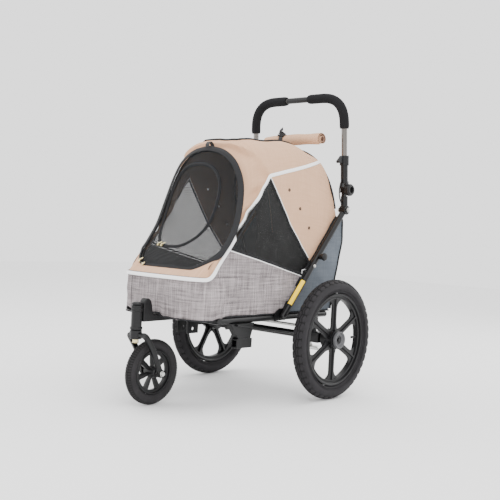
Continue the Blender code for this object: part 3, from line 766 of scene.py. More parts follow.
# %% [markdown]
# ## Wheels
# A tyre's carcass is a turned section. The rear tread is one pitch of four chevron blocks, laid on the
# section by angle and copied round the wheel. The front tread is finer, with three slanted blocks. A rim is
# a turned band, a hub and T-section arms that flare at both ends.


# %% Tyre
def tyre_mesh(centre, radius, section, lift, pitches, blocks, seat):
    bm = new_mesh()
    core, base = radius - section, section - lift
    profile = []
    for step in range(25):
        phi = math.radians(-150 + 300 * step / 24)
        profile.append((core + base * math.cos(phi), base * 1.04 * math.sin(phi)))
    profile = [(max(r, seat + 0.0004), x) for r, x in profile]
    lathe(bm, profile, centre, steps=96)

    def on_tyre(turn, phi, height):
        phi = math.radians(phi)
        r = core + (base + height) * math.cos(phi)
        x = (base * 1.04 + height) * math.sin(phi)
        return Vector(centre) + Vector((x, r * math.cos(turn), r * math.sin(turn)))

    # The carcass's crown between the tread blocks takes the second material: darker rubber as painted shade in the
    # grooves.
    for face in bm.faces:
        off = face.calc_center_median() - Vector(centre)
        if math.hypot(off.y, off.z) > core + base * math.cos(math.radians(50)):
            face.material_index = 1
    pitch = math.tau / pitches
    for number in range(pitches):
        for outline in blocks:
            middle_u = sum(u for u, _ in outline) / len(outline)
            middle_p = sum(p for _, p in outline) / len(outline)
            rows = []
            for height, shrink in ((-0.0006, 1.0), (lift * 0.8, 0.94), (lift, 0.82)):
                row = []
                for u, phi in outline:
                    u, phi = middle_u + (u - middle_u) * shrink, middle_p + (phi - middle_p) * shrink
                    row.append(on_tyre((number + u) * pitch, phi, height))
                rows.append(row)
            loft(bm, rows, closed_rows=True, caps=True)
    return bm


REAR_BLOCKS = [
    [(0.05, -22), (0.50, -14), (0.95, -22), (0.95, -6), (0.50, 2), (0.05, -6)],
    [(0.55, 22), (1.00, 14), (1.45, 22), (1.45, 9), (1.00, 1), (0.55, 9)],
    [(0.05, -26), (0.50, -18), (0.95, -26), (0.95, -42), (0.50, -56), (0.05, -42)],
    [(0.55, 26), (1.00, 18), (1.45, 26), (1.45, 42), (1.00, 56), (0.55, 42)],
]
FRONT_BLOCKS = [[(0.0, -12), (0.6, -12), (0.8, 12), (0.2, 12)]]
FRONT_BLOCKS += [[(0.3, s * 18), (0.9, s * 18), (0.75, s * 46), (0.15, s * 46)] for s in (-1, 1)]
SECTION, FRONT_SECTION = 0.0245, 0.0176
SEAT, FRONT_SEAT = REAR_R - 2 * SECTION * 0.93, FRONT_R - 2 * FRONT_SECTION * 0.93


def make_tyres():
    for suffix, side in LEFT_RIGHT:
        bm = tyre_mesh(at(side * TRACK, 0, REAR_R), REAR_R, SECTION, 0.0024, 46, REAR_BLOCKS, SEAT)
        lift_rings = [(SEAT + 0.008, 0.0203), (SEAT + 0.012, 0.0222)]
        for ring, bulge in lift_rings:
            for face in (-1, 1):
                profile = [(ring + a, face * (bulge + b)) for a, b in circle(0.0011, 6)]
                lathe(bm, profile, at(side * TRACK, 0, REAR_R), steps=96)
        body = f"rear_wheel{suffix}"
        add_piece(f"tread_tyre{suffix}", bm, [TYRE, PAINTED_GROOVE_SHADE], body, "tyre_rubber", [f"rear_tyre{suffix}"], 32)
    bm = tyre_mesh(CASTER, FRONT_R, FRONT_SECTION, 0.0014, 76, FRONT_BLOCKS, FRONT_SEAT)
    add_piece("tread_tyre_front", bm, [FRONT_TYRE, PAINTED_GROOVE_SHADE], "front_wheel", "tyre_rubber", ["front_tyre"], 32)


make_tyres()
print("tyres")


# %% Rims
def arm_mesh(bm, centre, turn, stations, outer_face, ridge):
    """One arm from (radius, half width, depth) stations: a plate with a ridge, and a web behind it."""
    rows = []
    spin = Matrix.Rotation(turn, 4, "X")
    s = outer_face
    for radius, w, depth in stations:
        section = [
            (-w, s * 0.0), (-w, s * 0.0040), (-w * 0.72, s * 0.0058), (-0.0040, s * 0.0058),
            (-0.0026, s * (0.0058 + ridge)), (0.0026, s * (0.0058 + ridge)), (0.0040, s * 0.0058),
            (w * 0.72, s * 0.0058), (w, s * 0.0040), (w, s * 0.0),
            (0.0042, -s * 0.0006), (0.0036, -s * depth), (-0.0036, -s * depth), (-0.0042, -s * 0.0006),
        ]  # fmt: skip
        rows.append([Vector(centre) + spin @ Vector((a, t, radius)) for t, a in section])
    loft(bm, rows, closed_rows=True, caps=True)


def flare(hub, lip, narrow, wide_hub, wide_rim, depth):
    """Arm stations that widen at the hub and into the rim with rounded corners."""
    made = []
    for step in range(15):
        f = step / 14
        near_hub, near_rim = max(0.0, 1 - f / 0.30), max(0.0, (f - 0.66) / 0.34)
        half = narrow + (wide_hub - narrow) * near_hub**1.8 + (wide_rim - narrow) * near_rim**2.6
        made.append((hub + (lip - hub) * f, half, depth))
    return made


def make_rear_rims():
    seat, half, lip = SEAT, SECTION * 0.9 * 0.72, SEAT - SECTION * 0.75
    for suffix, side in LEFT_RIGHT:
        centre = at(side * TRACK, 0, REAR_R)
        turn = 0.0 if side > 0 else math.radians(30)
        bm = new_mesh()
        band = [(seat, -half * 0.7), (seat, half * 0.7), (seat + 0.001, half * 0.86), (seat - 0.001, half)]
        band += [(seat - 0.005, half * 1.02), (seat - 0.0075, half * 0.9), (seat - 0.008, half * 0.60)]
        band += [(lip + 0.006, half * 0.56), (lip + 0.0035, half * 0.66), (lip, half * 0.62),
                 (lip - 0.001, half * 0.4)]
        band += [(r, -x) for r, x in reversed(band[2:])]
        lathe(bm, band, centre, steps=96)
        for number in range(6):
            stations = flare(0.0285, lip + 0.004, 0.0125, 0.0215, 0.056, 0.0085)
            arm_mesh(bm, centre, turn + math.tau * number / 6, stations, side, 0.0046)
        barrel = [(0.0150, -0.030), (0.029, -0.030), (0.031, -0.028), (0.0320, 0.006), (0.0305, 0.018),
                  (0.026, 0.020)]
        barrel += [(0.0155, 0.020)]
        lathe(bm, [(r, side * x) for r, x in barrel], centre, steps=48)
        collar = [(0.0132, -0.0295), (0.0150, -0.0295), (0.0152, 0.020), (0.024, 0.0195), (0.0278, 0.0235)]
        collar += [(0.0285, 0.030), (0.0270, 0.0335), (0.0245, 0.0325), (0.0215, 0.0265), (0.0160, 0.0255)]
        collar += [(0.0132, 0.0280)]
        lathe(bm, [(r, side * x) for r, x in collar], centre, steps=48, material=1)
        for number in range(6):
            spin = Matrix.Rotation(turn + math.tau * (number + 0.5) / 6, 4, "X")
            gusset = [(0.030, -0.004), (0.044, -0.004), (0.030, 0.012)]
            rows = []
            for t in (-0.0015, 0.0015):
                rows.append([centre + spin @ Vector((side * a, t, r)) for r, a in gusset])
            loft(bm, rows, closed_rows=True, caps=True)
        body = f"rear_wheel{suffix}"
        add_piece(f"spoked_rim{suffix}", bm, [RIM, HUB_GREY], body, "rim_black", [f"rear_rim{suffix}"], 30)
        bm = new_mesh()
        angle = math.radians(-2 if side > 0 else 28)
        spin = Matrix.Rotation(angle, 4, "X")
        ends = [(0.1375, 0.0), (0.112, 0.004)]
        path = [centre + spin @ Vector((side * a, r, 0.004)) for r, a in ends]
        sweep(bm, path, circle(0.0031, 10))
        sweep(bm, [path[1], path[1] + (path[1] - path[0]) * 0.35], circle(0.0040, 8), material=1)
        add_piece(f"valve{suffix}", bm, [TYRE, RIM], body, "tyre_rubber")


def make_front_rim():
    seat, half, lip = FRONT_SEAT, FRONT_SECTION * 0.65, FRONT_SEAT - FRONT_SECTION * 0.75
    bm = new_mesh()
    band = [(seat, -half * 0.7), (seat, half * 0.7), (seat + 0.001, half * 0.86), (seat - 0.001, half)]
    band += [(seat - 0.004, half), (seat - 0.005, half * 0.6), (lip + 0.002, half * 0.6), (lip, half * 0.4)]
    band += [(r, -x) for r, x in reversed(band[2:])]
    lathe(bm, band, CASTER, steps=72)
    for number in range(7):
        stations = []
        for step in range(13):
            f = step / 12
            belly = 0.0030 * math.sin(math.pi * min(1, f * 0.75))
            half_width = 0.0048 + belly + 0.007 * max(0, (f - 0.76) / 0.24) ** 2.2
            stations.append((0.0145 + (lip + 0.004 - 0.0145) * f, half_width, 0.0055))
        arm_mesh(bm, CASTER, math.tau * number / 7, stations, 1, 0.0016)
        arm_mesh(bm, CASTER, math.tau * number / 7, stations, -1, 0.0016)
    hub = [(0.0060, -0.0250), (0.0120, -0.0250), (0.0150, -0.0215), (0.0172, -0.006), (0.0172, 0.006)]
    hub += [(0.0150, 0.0215), (0.0120, 0.0250), (0.0060, 0.0250)]
    lathe(bm, hub, CASTER, steps=40)
    add_piece("spoked_rim_front", bm, RIM, "front_wheel", "rim_black", ["front_rim"], 30)


make_rear_rims()
make_front_rim()
print("rims")

# %% [markdown]
# ## The cabin skin
# One dense skin carries every fabric panel. It is lofted from three curves of (height, half width): the
# door's edge, the middle hoop and the rear edge. The skin is then bisected along the seams, each face is
# sorted into its panel, and each panel becomes its own sheet of cloth.

# %% Cabin curves
DOOR_EDGE = [
    (0.403, 0.176, -0.505), (0.435, 0.1740, -0.489), (0.480, 0.176, -0.444), (0.520, 0.178, -0.413),
    (0.560, 0.176, -0.389), (0.620, 0.170, -0.369), (0.680, 0.158, -0.355), (0.720, 0.142, -0.351),
    (0.760, 0.114, -0.350), (0.790, 0.066, -0.350), (0.803, 0.000, -0.350),
]  # fmt: skip
REAR_EDGE = [
    (0.403, 0.1850, 0.103), (0.435, 0.186, 0.106), (0.480, 0.187, 0.118), (0.531, 0.188, 0.128),
    (0.580, 0.187, 0.120), (0.640, 0.185, 0.106), (0.700, 0.180, 0.088), (0.752, 0.168, 0.068),
    (0.800, 0.140, 0.052), (0.836, 0.078, 0.046), (0.846, 0.000, 0.046),
]  # fmt: skip
MID_EDGE = [
    (0.403, 0.1855), (0.435, 0.187), (0.487, 0.190), (0.540, 0.190), (0.600, 0.189), (0.665, 0.187),
    (0.725, 0.183), (0.780, 0.171), (0.825, 0.139), (0.848, 0.076), (0.853, 0.000),
]  # fmt: skip
STATIONS, ROOF_RISE = (-0.30, -0.19, -0.08), 0.012
UP_STEPS, ALONG_STEPS = 9, 15
HEM, TUB_TOP = 0.2835, 0.403


def cabin_columns():
    """Columns of the left half, each a smooth curve from the tub to the roof's middle line."""
    columns = [[at(x, y + 0.002, z) for z, x, y in DOOR_EDGE]]
    for number, y in enumerate(STATIONS):
        column = []
        for z, x in MID_EDGE:
            share = max(0.0, (z - 0.435) / 0.418)
            column.append(at(x, y, z + (number - 1) * ROOF_RISE * share))
        columns.append(column)
    columns.append([at(x, y, z) for z, x, y in REAR_EDGE])
    return [smooth_line(column, UP_STEPS) for column in columns]


def ripple(point, size, height):
    """A soft swell of cloth, from two octaves of noise."""
    fold = noise.noise(Vector((point.x * size * 2.2, point.y * size * 1.7, point.z * size * 0.5)))
    return height * (noise.noise(point * size) + 0.5 * fold + 0.45 * noise.noise(point * size * 2.7))


def hollow(p):
    """How far the cloth between the door and the front hoop falls in. It leaves a ridge over the hoop."""
    y, z = p.y - AXLE_Y, p.z
    ridge = height_of_ridge(z)
    door = np.interp(z, [row[0] for row in DOOR_EDGE], [row[2] for row in DOOR_EDGE])
    if y >= ridge or z < 0.46:
        return 0.0
    share = max(0.0, min(1.0, (ridge - y) / max(0.02, ridge - door)))
    pleat = 1 + 0.30 * math.sin(z * 95 + share * 3)
    return 0.0125 * math.sin(math.pi * share**0.62) * min(1, (z - 0.46) / 0.06) * pleat


def height_of_ridge(z):
    """Depth of the front hoop at this height."""
    return float(np.interp(z, [0.41, 0.486, 0.725, 0.800, 0.86], [-0.487, -0.422, -0.253, -0.318, -0.330]))


def make_skin():
    columns = cabin_columns()
    half = [smooth_line(row, ALONG_STEPS) for row in zip(*columns)]
    left = [[p.copy() for p in row] for row in half]
    right = [[Vector((-p.x, p.y, p.z)) for p in row] for row in reversed(half[:-1])]
    rows = left + right
    across = [0.0]
    middle = len(rows[0]) // 2
    for a, b in zip(rows, rows[1:]):
        across.append(across[-1] + (b[middle] - a[middle]).length / MM)
    bm = new_mesh()
    layer = bm.loops.layers.uv["cloth"]
    grid = [[bm.verts.new(p) for p in row] for row in rows]
    base = TUB_TOP / MM
    for i in range(len(rows) - 1):
        for k in range(len(rows[0]) - 1):
            corners = [(i, k), (i, k + 1), (i + 1, k + 1), (i + 1, k)]
            face = bm.faces.new([grid[a][b] for a, b in corners])
            for loop, (a, _) in zip(face.loops, corners):
                loop[layer].uv = ((loop.vert.co.y - AXLE_Y) / MM, base + across[a])
    bmesh.ops.recalc_face_normals(bm, faces=bm.faces)
    if sum(f.normal.dot(f.calc_center_median() - at(0, -0.15, 0.5)) for f in bm.faces) < 0:
        bmesh.ops.reverse_faces(bm, faces=bm.faces)
    bm.normal_update()
    moves = []
    for vert in bm.verts:
        p = vert.co
        fade = min(1.0, abs(p.y - AXLE_Y + 0.36) / 0.07, abs(p.z - TUB_TOP) / 0.03)
        moves.append(p + vert.normal * (ripple(p, 9.0, 0.0046) * fade - hollow(p)))
    for vert, place in zip(bm.verts, moves):
        vert.co = place
    return bm


# %% Seams
# Points on a seam are (depth, height).
NOSE_SEAM, SHOULDER, PEAK, CREST = (-0.487, 0.410), (-0.422, 0.486), (-0.253, 0.725), (0.048, 0.7985)
WINDOW_BEND, WINDOW_FOOT, SKIRT_END = (-0.141, 0.573), (-0.025, 0.452), (-0.056, 0.402)
POST_FOOT, POST_SLOPE, POST_X = (-0.170, 0.283), 1.157, 0.204
HINGE, HINGE_TOP = (0.136, 0.637), (0.120, 0.812)
ROOF_WINDOW = (0.085, -0.295, 0.020)


def height_on(seam, depth):
    """The seam's height at this depth."""
    for (y0, z0), (y1, z1) in zip(seam, seam[1:]):
        if depth <= y1 or (y1, z1) == seam[-1]:
            return z0 + (z1 - z0) * (depth - y0) / (y1 - y0)
    return seam[-1][1]


FRONT_SEAM = [NOSE_SEAM, SHOULDER, PEAK, CREST]
SKIRT_SEAM = [SHOULDER, SKIRT_END]
WINDOW_SEAM = [PEAK, WINDOW_BEND, WINDOW_FOOT]


def post_height(depth):
    """Height of the folding post's line at this depth."""
    return POST_FOOT[1] + POST_SLOPE * (depth - POST_FOOT[0])


def panel_of(x, y, z):
    """The name of the panel that holds this place on the skin."""
    half, front, rear = ROOF_WINDOW
    if abs(x) < half and front < y < rear and z > 0.76:
        return "roof_net"
    if z < post_height(y):
        return "gusset"
    if z > height_on(FRONT_SEAM, y):
        return "hood"
    if z < height_on(SKIRT_SEAM, y):
        return "skirt"
    if z > height_on(WINDOW_SEAM, y):
        return "quarter"
    return "side_net"


def cut(bm, point, normal):
    """Splits the faces of a mesh along a plane."""
    everything = bm.verts[:] + bm.edges[:] + bm.faces[:]
    bmesh.ops.bisect_plane(bm, geom=everything, plane_co=point, plane_no=normal, dist=1e-5)


def cut_along_seams(bm):
    lines = list(zip(FRONT_SEAM, FRONT_SEAM[1:])) + list(zip(WINDOW_SEAM, WINDOW_SEAM[1:]))
    lines += [tuple(SKIRT_SEAM), (POST_FOOT, (0.0, post_height(0.0)))]
    for (y0, z0), (y1, z1) in lines:
        cut(bm, at(0, y0, z0), Vector((0, z1 - z0, y0 - y1)))
    half, front, rear = ROOF_WINDOW
    for x in (half, -half):
        cut(bm, at(x, 0, 0), (1, 0, 0))
    for y in (front, rear):
        cut(bm, at(0, y, 0), (0, 1, 0))


def panel_from(skin, wanted):
    """A copy of the skin with only the faces that belong to these panels."""
    bm = skin.copy()
    gone = []
    for face in bm.faces:
        c = face.calc_center_median()
        label = panel_of(c.x, c.y - AXLE_Y, c.z)
        side = "left" if c.x > 0 else "right"
        if label not in wanted and f"{label}_{side}" not in wanted:
            gone.append(face)
    bmesh.ops.delete(bm, geom=gone, context="FACES")
    return bm


SKIN = make_skin()
SKIN_TREE = BVHTree.FromBMesh(SKIN)
cut_along_seams(SKIN)
print("skin faces", len(SKIN.faces))


# %% Sheets of cloth
def soft(obj):
    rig.squash(obj, "frame_fold", axis=(0, 0, 1), anchor=(0, 0, TUB_TOP), keep=0.3)
    return obj


def declare_sheet(obj):
    """Says how big the cloth was when it was cut: the rectangle round it in millimetres, and its own area."""
    layer = obj.data.uv_layers["cloth"].data
    u = [item.uv[0] for item in layer]
    v = [item.uv[1] for item in layer]
    flat = (max(0.02, (max(u) - min(u)) * MM), max(0.02, (max(v) - min(v)) * MM))
    area = sum(face.area for face in obj.data.polygons)
    if "thickness" in obj:
        area /= 2
    grow = max(1.0, math.sqrt(area / (0.85 * flat[0] * flat[1])))
    flat = (flat[0] * grow, flat[1] * grow)
    area = max(area, flat[0] * flat[1] * 0.302)
    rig.sheet(obj, flat=flat, held="stretched", rests_on=[], area=area)


def cloth_piece(name, bm, outer, inner, body, slot, replaces=(), thick=0.0016, squash=True):
    """A panel with real thickness. Its outer face keeps the skin, and its inner face is the lining."""
    obj = add_piece(name, bm, [outer, inner], body, slot, replaces, smooth=0, outward=False)
    wall = obj.modifiers.new("thickness", "SOLIDIFY")
    wall.thickness, wall.offset, wall.material_offset = thick, -1.0, 1
    obj["thickness"] = thick
    apply_all(obj)
    select_only(obj)
    bpy.ops.object.shade_smooth_by_angle(angle=math.radians(55))
    declare_sheet(obj)
    del obj["thickness"]
    return soft(obj) if squash else obj


def make_panels():
    made = []
    cloth_piece("hood_shell", panel_from(SKIN, {"hood"}), BEIGE, SHADED_LINING, "chassis", "beige", ["canopy"])
    cloth_piece("roof_net", panel_from(SKIN, {"roof_net"}), ROOF_NET, ROOF_NET, "chassis", "mesh",
                thick=0.0005)
    for side in ("left", "right"):
        for label, outer, inner, slot in (
            ("quarter", BEIGE, SHADED_LINING, "beige"),
            ("skirt", MELANGE, CHARCOAL_SEAMS_AND_SHADED_LINING, "melange"),
            ("gusset", SLATE, SLATE, "melange"),
        ):
            bm = panel_from(SKIN, {f"{label}_{side}"})
            made.append(cloth_piece(f"{label}_panel_{side}", bm, outer, inner, "chassis", slot).name)
        bm = panel_from(SKIN, {f"side_net_{side}"})
        made.append(cloth_piece(f"side_net_{side}", bm, SIDE_NET, SIDE_NET, "chassis", "mesh",
                                thick=0.0005).name)
    return made


print("panels", make_panels())


# %% Lower skirt
def face_out(bm, outward):
    """Turns an open sheet so that its faces look this way."""
    bm.normal_update()
    if sum(face.normal.dot(outward) for face in bm.faces) < 0:
        bmesh.ops.reverse_faces(bm, faces=bm.faces)


def tub_outline(grow, steps=10):
    """The tub's plan from its left rear corner round the nose to its right rear corner."""
    left = [(0.184, 0.100), (0.1845, -0.05), (0.1845, -0.22), (0.1845, -0.400), (0.184, -0.460),
            (0.1785, -0.500)]
    left += [(0.1590, -0.5250), (0.110, -0.5365), (0.050, -0.5400)]
    corners = [(x + grow, y) for x, y in left[:5]] + [(x + grow * 0.7, y - grow * 0.7) for x, y in left[5:6]]
    corners += [(x, y - grow) for x, y in left[6:]]
    corners += [(0.0, -0.541 - grow)] + [(-x, y) for x, y in reversed(corners)]
    return smooth_line([(x, y, 0) for x, y in corners], steps)


def hem_drop(p):
    """How far the skirt's lower edge hangs below its rails round the nose."""
    ahead = max(0.0, min(1.0, (-0.462 - (p.y - AXLE_Y)) / 0.02))
    aside = max(0.0, min(1.0, (abs(p.x) - 0.013) / 0.008))
    return 0.0105 * ahead * aside


def nose_edge(p):
    """Height of the beige cover's lower edge, which rises to meet the side strips."""
    return 0.3925 + 0.030 * max(0.0, 1 - (-0.474 - (p.y - AXLE_Y)) / 0.034) ** 1.6


def make_lower_skirt():
    levels = [(0.2815, -0.006), (0.2830, -0.0015), (0.2860, 0.0006)]
    levels += [(0.300 + 0.0115 * k, 0.0010 + 0.0022 * math.sin(k / 8 * math.pi))
               for k in range(9)] + [(TUB_TOP, 0.0005)]
    rows = []
    for z, grow in levels:
        row = [Vector((p.x, p.y + AXLE_Y, z)) for p in tub_outline(grow)]
        rows.append(row)
    bm = new_mesh()
    layer = bm.loops.layers.uv["cloth"]
    run = [100.0]
    for a, b in zip(rows[4], rows[4][1:]):
        run.append(run[-1] - (b - a).length / MM)
    grid = [[bm.verts.new(p) for p in row] for row in rows]
    for i in range(len(rows) - 1):
        for k in range(len(rows[0]) - 1):
            corners = [(i, k), (i, k + 1), (i + 1, k + 1), (i + 1, k)]
            face = bm.faces.new([grid[a][b] for a, b in corners])
            for loop, (a, b) in zip(face.loops, corners):
                loop[layer].uv = (run[b], levels[a][0] / MM)
    bm.normal_update()
    if sum(f.normal.x * f.calc_center_median().x for f in bm.faces) < 0:
        bmesh.ops.reverse_faces(bm, faces=bm.faces)
    bm.normal_update()
    for vert in bm.verts:
        vert.co.z -= hem_drop(vert.co) * max(0.0, min(1.0, (0.318 - vert.co.z) / 0.03))
    moves = [(v, v.normal * ripple(v.co, 11.0, 0.0056) * min(1, (TUB_TOP - v.co.z) / 0.03)) for v in bm.verts]
    for vert, move in moves:
        vert.co += move
    cut(bm, at(0, *POST_FOOT), (0, POST_SLOPE, -1))

    def behind(face):
        c = face.calc_center_median()
        return c.z < post_height(c.y - AXLE_Y)

    front, rear = bm.copy(), bm
    bmesh.ops.delete(front, geom=[f for f in front.faces if behind(f)], context="FACES")
    bmesh.ops.delete(rear, geom=[f for f in rear.faces if not behind(f)], context="FACES")
    cloth_piece("nose_skirt", front, MELANGE, CHARCOAL_SEAMS_AND_SHADED_LINING, "chassis", "melange", ["lower_tub"], squash=False)
    for suffix, side in LEFT_RIGHT:
        part = rear.copy()
        bmesh.ops.delete(part, geom=[f for f in part.faces if f.calc_center_median().x * side < 0],
                         context="FACES")
        cloth_piece(f"gusset_foot{suffix}", part, SLATE, SLATE, "chassis", "melange", squash=False)
    rear.free()
    bm = new_mesh()
    outline = [(p.x, p.y + AXLE_Y) for p in tub_outline(-0.004, 4)]
    plate(bm, outline, HEM, 0.2860, "Z")
    lay_map(bm, lambda p: (p.x, p.y))
    add_piece("tub_floor", bm, BINDING, "chassis", "melange")
    bm = new_mesh()
    rows = [[at(x, 0.1000 + 0.002 * math.cos(x * 9), z) for x in np.linspace(-0.183, 0.183, 25)]
            for z in np.linspace(0.284, TUB_TOP, 9)]
    loft(bm, rows)
    face_out(bm, Vector((0, 1, 0)))
    cloth_piece("tub_back", bm, MELANGE, CHARCOAL_SEAMS_AND_SHADED_LINING, "chassis", "melange", squash=False)


make_lower_skirt()


print("skirt done")

# %% [markdown]
# ## Seams, strips and bindings
# A strip follows a seam by ray casting from outside the cabin onto the skin. The hit gives its place and
# its outward direction, so that a flat tape lies on the cloth. Stitches are short capsules beside each edge.


# %% Strips
def cast(origin, direction):
    hit, normal, _, _ = SKIN_TREE.ray_cast(Vector(origin), Vector(direction))
    if hit is None:
        hit, normal, _, _ = SKIN_TREE.find_nearest(Vector(origin))
    if normal.dot(Vector(direction)) > 0:
        normal = -normal
    return hit, normal


def on_side(y, z, side):
    return cast(at(side * 0.6, y, z), (-side, 0, 0))


def on_roof(x, y):
    return cast(at(x, y, 1.2), (0, 0, -1))


def seam_path(seam, side, gap=0.006, lift=0.0004):
    """Places and outward directions along a seam of (depth, height) points."""
    flat = even_line([Vector((0, y, z)) for y, z in seam], gap)
    points, normals = [], []
    for p in flat:
        hit, normal = on_side(p.y, p.z, side)
        points.append(hit + normal * lift)
        normals.append(normal)
    return points, normals


def add_stitches(bm, points, normals, offset, gap=0.0046, length=0.0030, radius=0.00035):
    """A row of stitches beside a path."""
    line = even_line(points, gap)
    for a, b in zip(line, line[1:]):
        run = b - a
        if run.length < gap * 0.5:
            continue
        near = min(range(len(points)), key=lambda k: (points[k] - a).length_squared)
        out = normals[near]
        side = run.normalized().cross(out).normalized() * offset
        start = a + side + out * 0.0012
        path = [start, start + run.normalized() * length]
        sweep(bm, path, circle(radius, 5), [out, out])


def make_white_strip():
    nose = [Vector((p.x, p.y + AXLE_Y, 0)) for p in tub_outline(0.0056)]
    nose = [Vector((p.x, p.y, nose_edge(p) + 0.0030)) for p in nose if p.y - AXLE_Y < -0.484]
    middle = at(0, -0.40, 0.4000)
    nose_out = [((p - middle).normalized() + Vector((0, 0, 0.3))).normalized() for p in nose]
    left, left_out = seam_path([CREST, PEAK, SHOULDER, (-0.474, 0.4250)], 1)
    points, normals = left + nose + mirrored(left), left_out + nose_out + mirrored(left_out)
    for joint in (len(left), len(left) + len(nose)):
        low, high = joint - 7, joint + 7
        points[low:high] = smooth_pass(points[low:high], 8)
        normals[low:high] = [n.normalized() for n in smooth_pass(normals[low:high], 9)]
    normals = [n.normalized() for n in smooth_pass(normals, 2)]
    settled = []
    for point, normal in zip(points, normals):
        if point.z < 0.4300:
            settled.append(point + normal * 0.0006)
            continue
        hit, _, _, _ = OUTER_TREE.ray_cast(point + normal * 0.03, -normal, 0.05)
        settled.append(hit + normal * (0.0005 if point.z > 0.52 else 0.0016) if hit else point)
    points = smooth_pass(settled, 1)
    for joint in (len(left), len(left) + len(nose)):
        low, high = joint - 12, joint + 12
        points[low:high] = smooth_pass(points[low:high], 8)
    bm = new_mesh()
    sweep(bm, points, ribbon(0.0115, 0.0016), normals)
    soft(add_piece("reflective_strip", bm, WHITE, "chassis", "beige", smooth=50))
    bm = new_mesh()
    for offset in (0.0045, -0.0045):
        add_stitches(bm, points, normals, offset)
    soft(add_piece("strip_stitches", bm, THREAD, "chassis", "beige", smooth=50))


def mirrored(points):
    """The same path on the other side, run backwards."""
    return [Vector((-p.x, p.y, p.z)) for p in reversed(points)]


def smooth_pass(points, rounds):
    """Takes sharp steps out of a path without moving its ends."""
    points = [p.copy() for p in points]
    for _ in range(rounds):
        kept = [p.copy() for p in points]
        for k in range(1, len(points) - 1):
            points[k] = kept[k] * 0.5 + (kept[k - 1] + kept[k + 1]) * 0.25
    return points


def make_gusset_flap(side, suffix):
    """The slack gusset behind the post, bound along its free edge."""
    back = [(0.634, 0.130), (0.600, 0.149), (0.531, 0.152), (0.453, 0.133), (0.401, 0.120),
            (0.330, 0.108), (0.290, 0.102)]
    rows, edge = [], []
    for z in np.linspace(0.634, 0.290, 46):
        rear = float(np.interp(-z, [-a for a, _ in back], [b for _, b in back]))
        front = POST_FOOT[0] + (z - POST_FOOT[1]) / POST_SLOPE + 0.004
        row = []
        for step in range(25):
            t = step / 24
            y = front + (rear - front) * t
            slack = min(1.0, t * 2.2) * math.sin(math.pi * min(1.0, 0.15 + t * 0.75))
            fold = math.sin((z * 1.0 + y * 0.8) * 62) * 0.55 + math.sin((z * 0.6 - y) * 47 + 1.3) * 0.45
            row.append(at(side * (0.1895 + 0.0032 * slack * fold), y, z))
        rows.append(row)
        edge.append(row[-1])
    bm = new_mesh()
    loft(bm, rows)
    lay_map(bm, lambda p: (p.y, p.z))
    face_out(bm, Vector((side, 0, 0)))
    cloth_piece(f"gusset_flap{suffix}", bm, SLATE, SLATE, "chassis", "melange", thick=0.0012)
    bm = new_mesh()
    sweep(bm, smooth_pass(edge, 3), circle(0.0042, 10, 0.75))
    soft(add_piece(f"gusset_binding{suffix}", bm, BINDING, "chassis", "mesh"))


def zip_ring(name, hits, lift, tape):
    """A closed loop of tape with a coil on it, over (place, outward direction) pairs."""
    bm = new_mesh()
    normals = [n for _, n in hits]
    sweep(bm, [h + n * lift for h, n in hits], tape, normals, closed=True)
    sweep(bm, [h + n * (lift + 0.0022) for h, n in hits], circle(0.0022, 8), normals, closed=True)
    soft(add_piece(name, bm, ZIP_TAPE, "chassis", "mesh"))


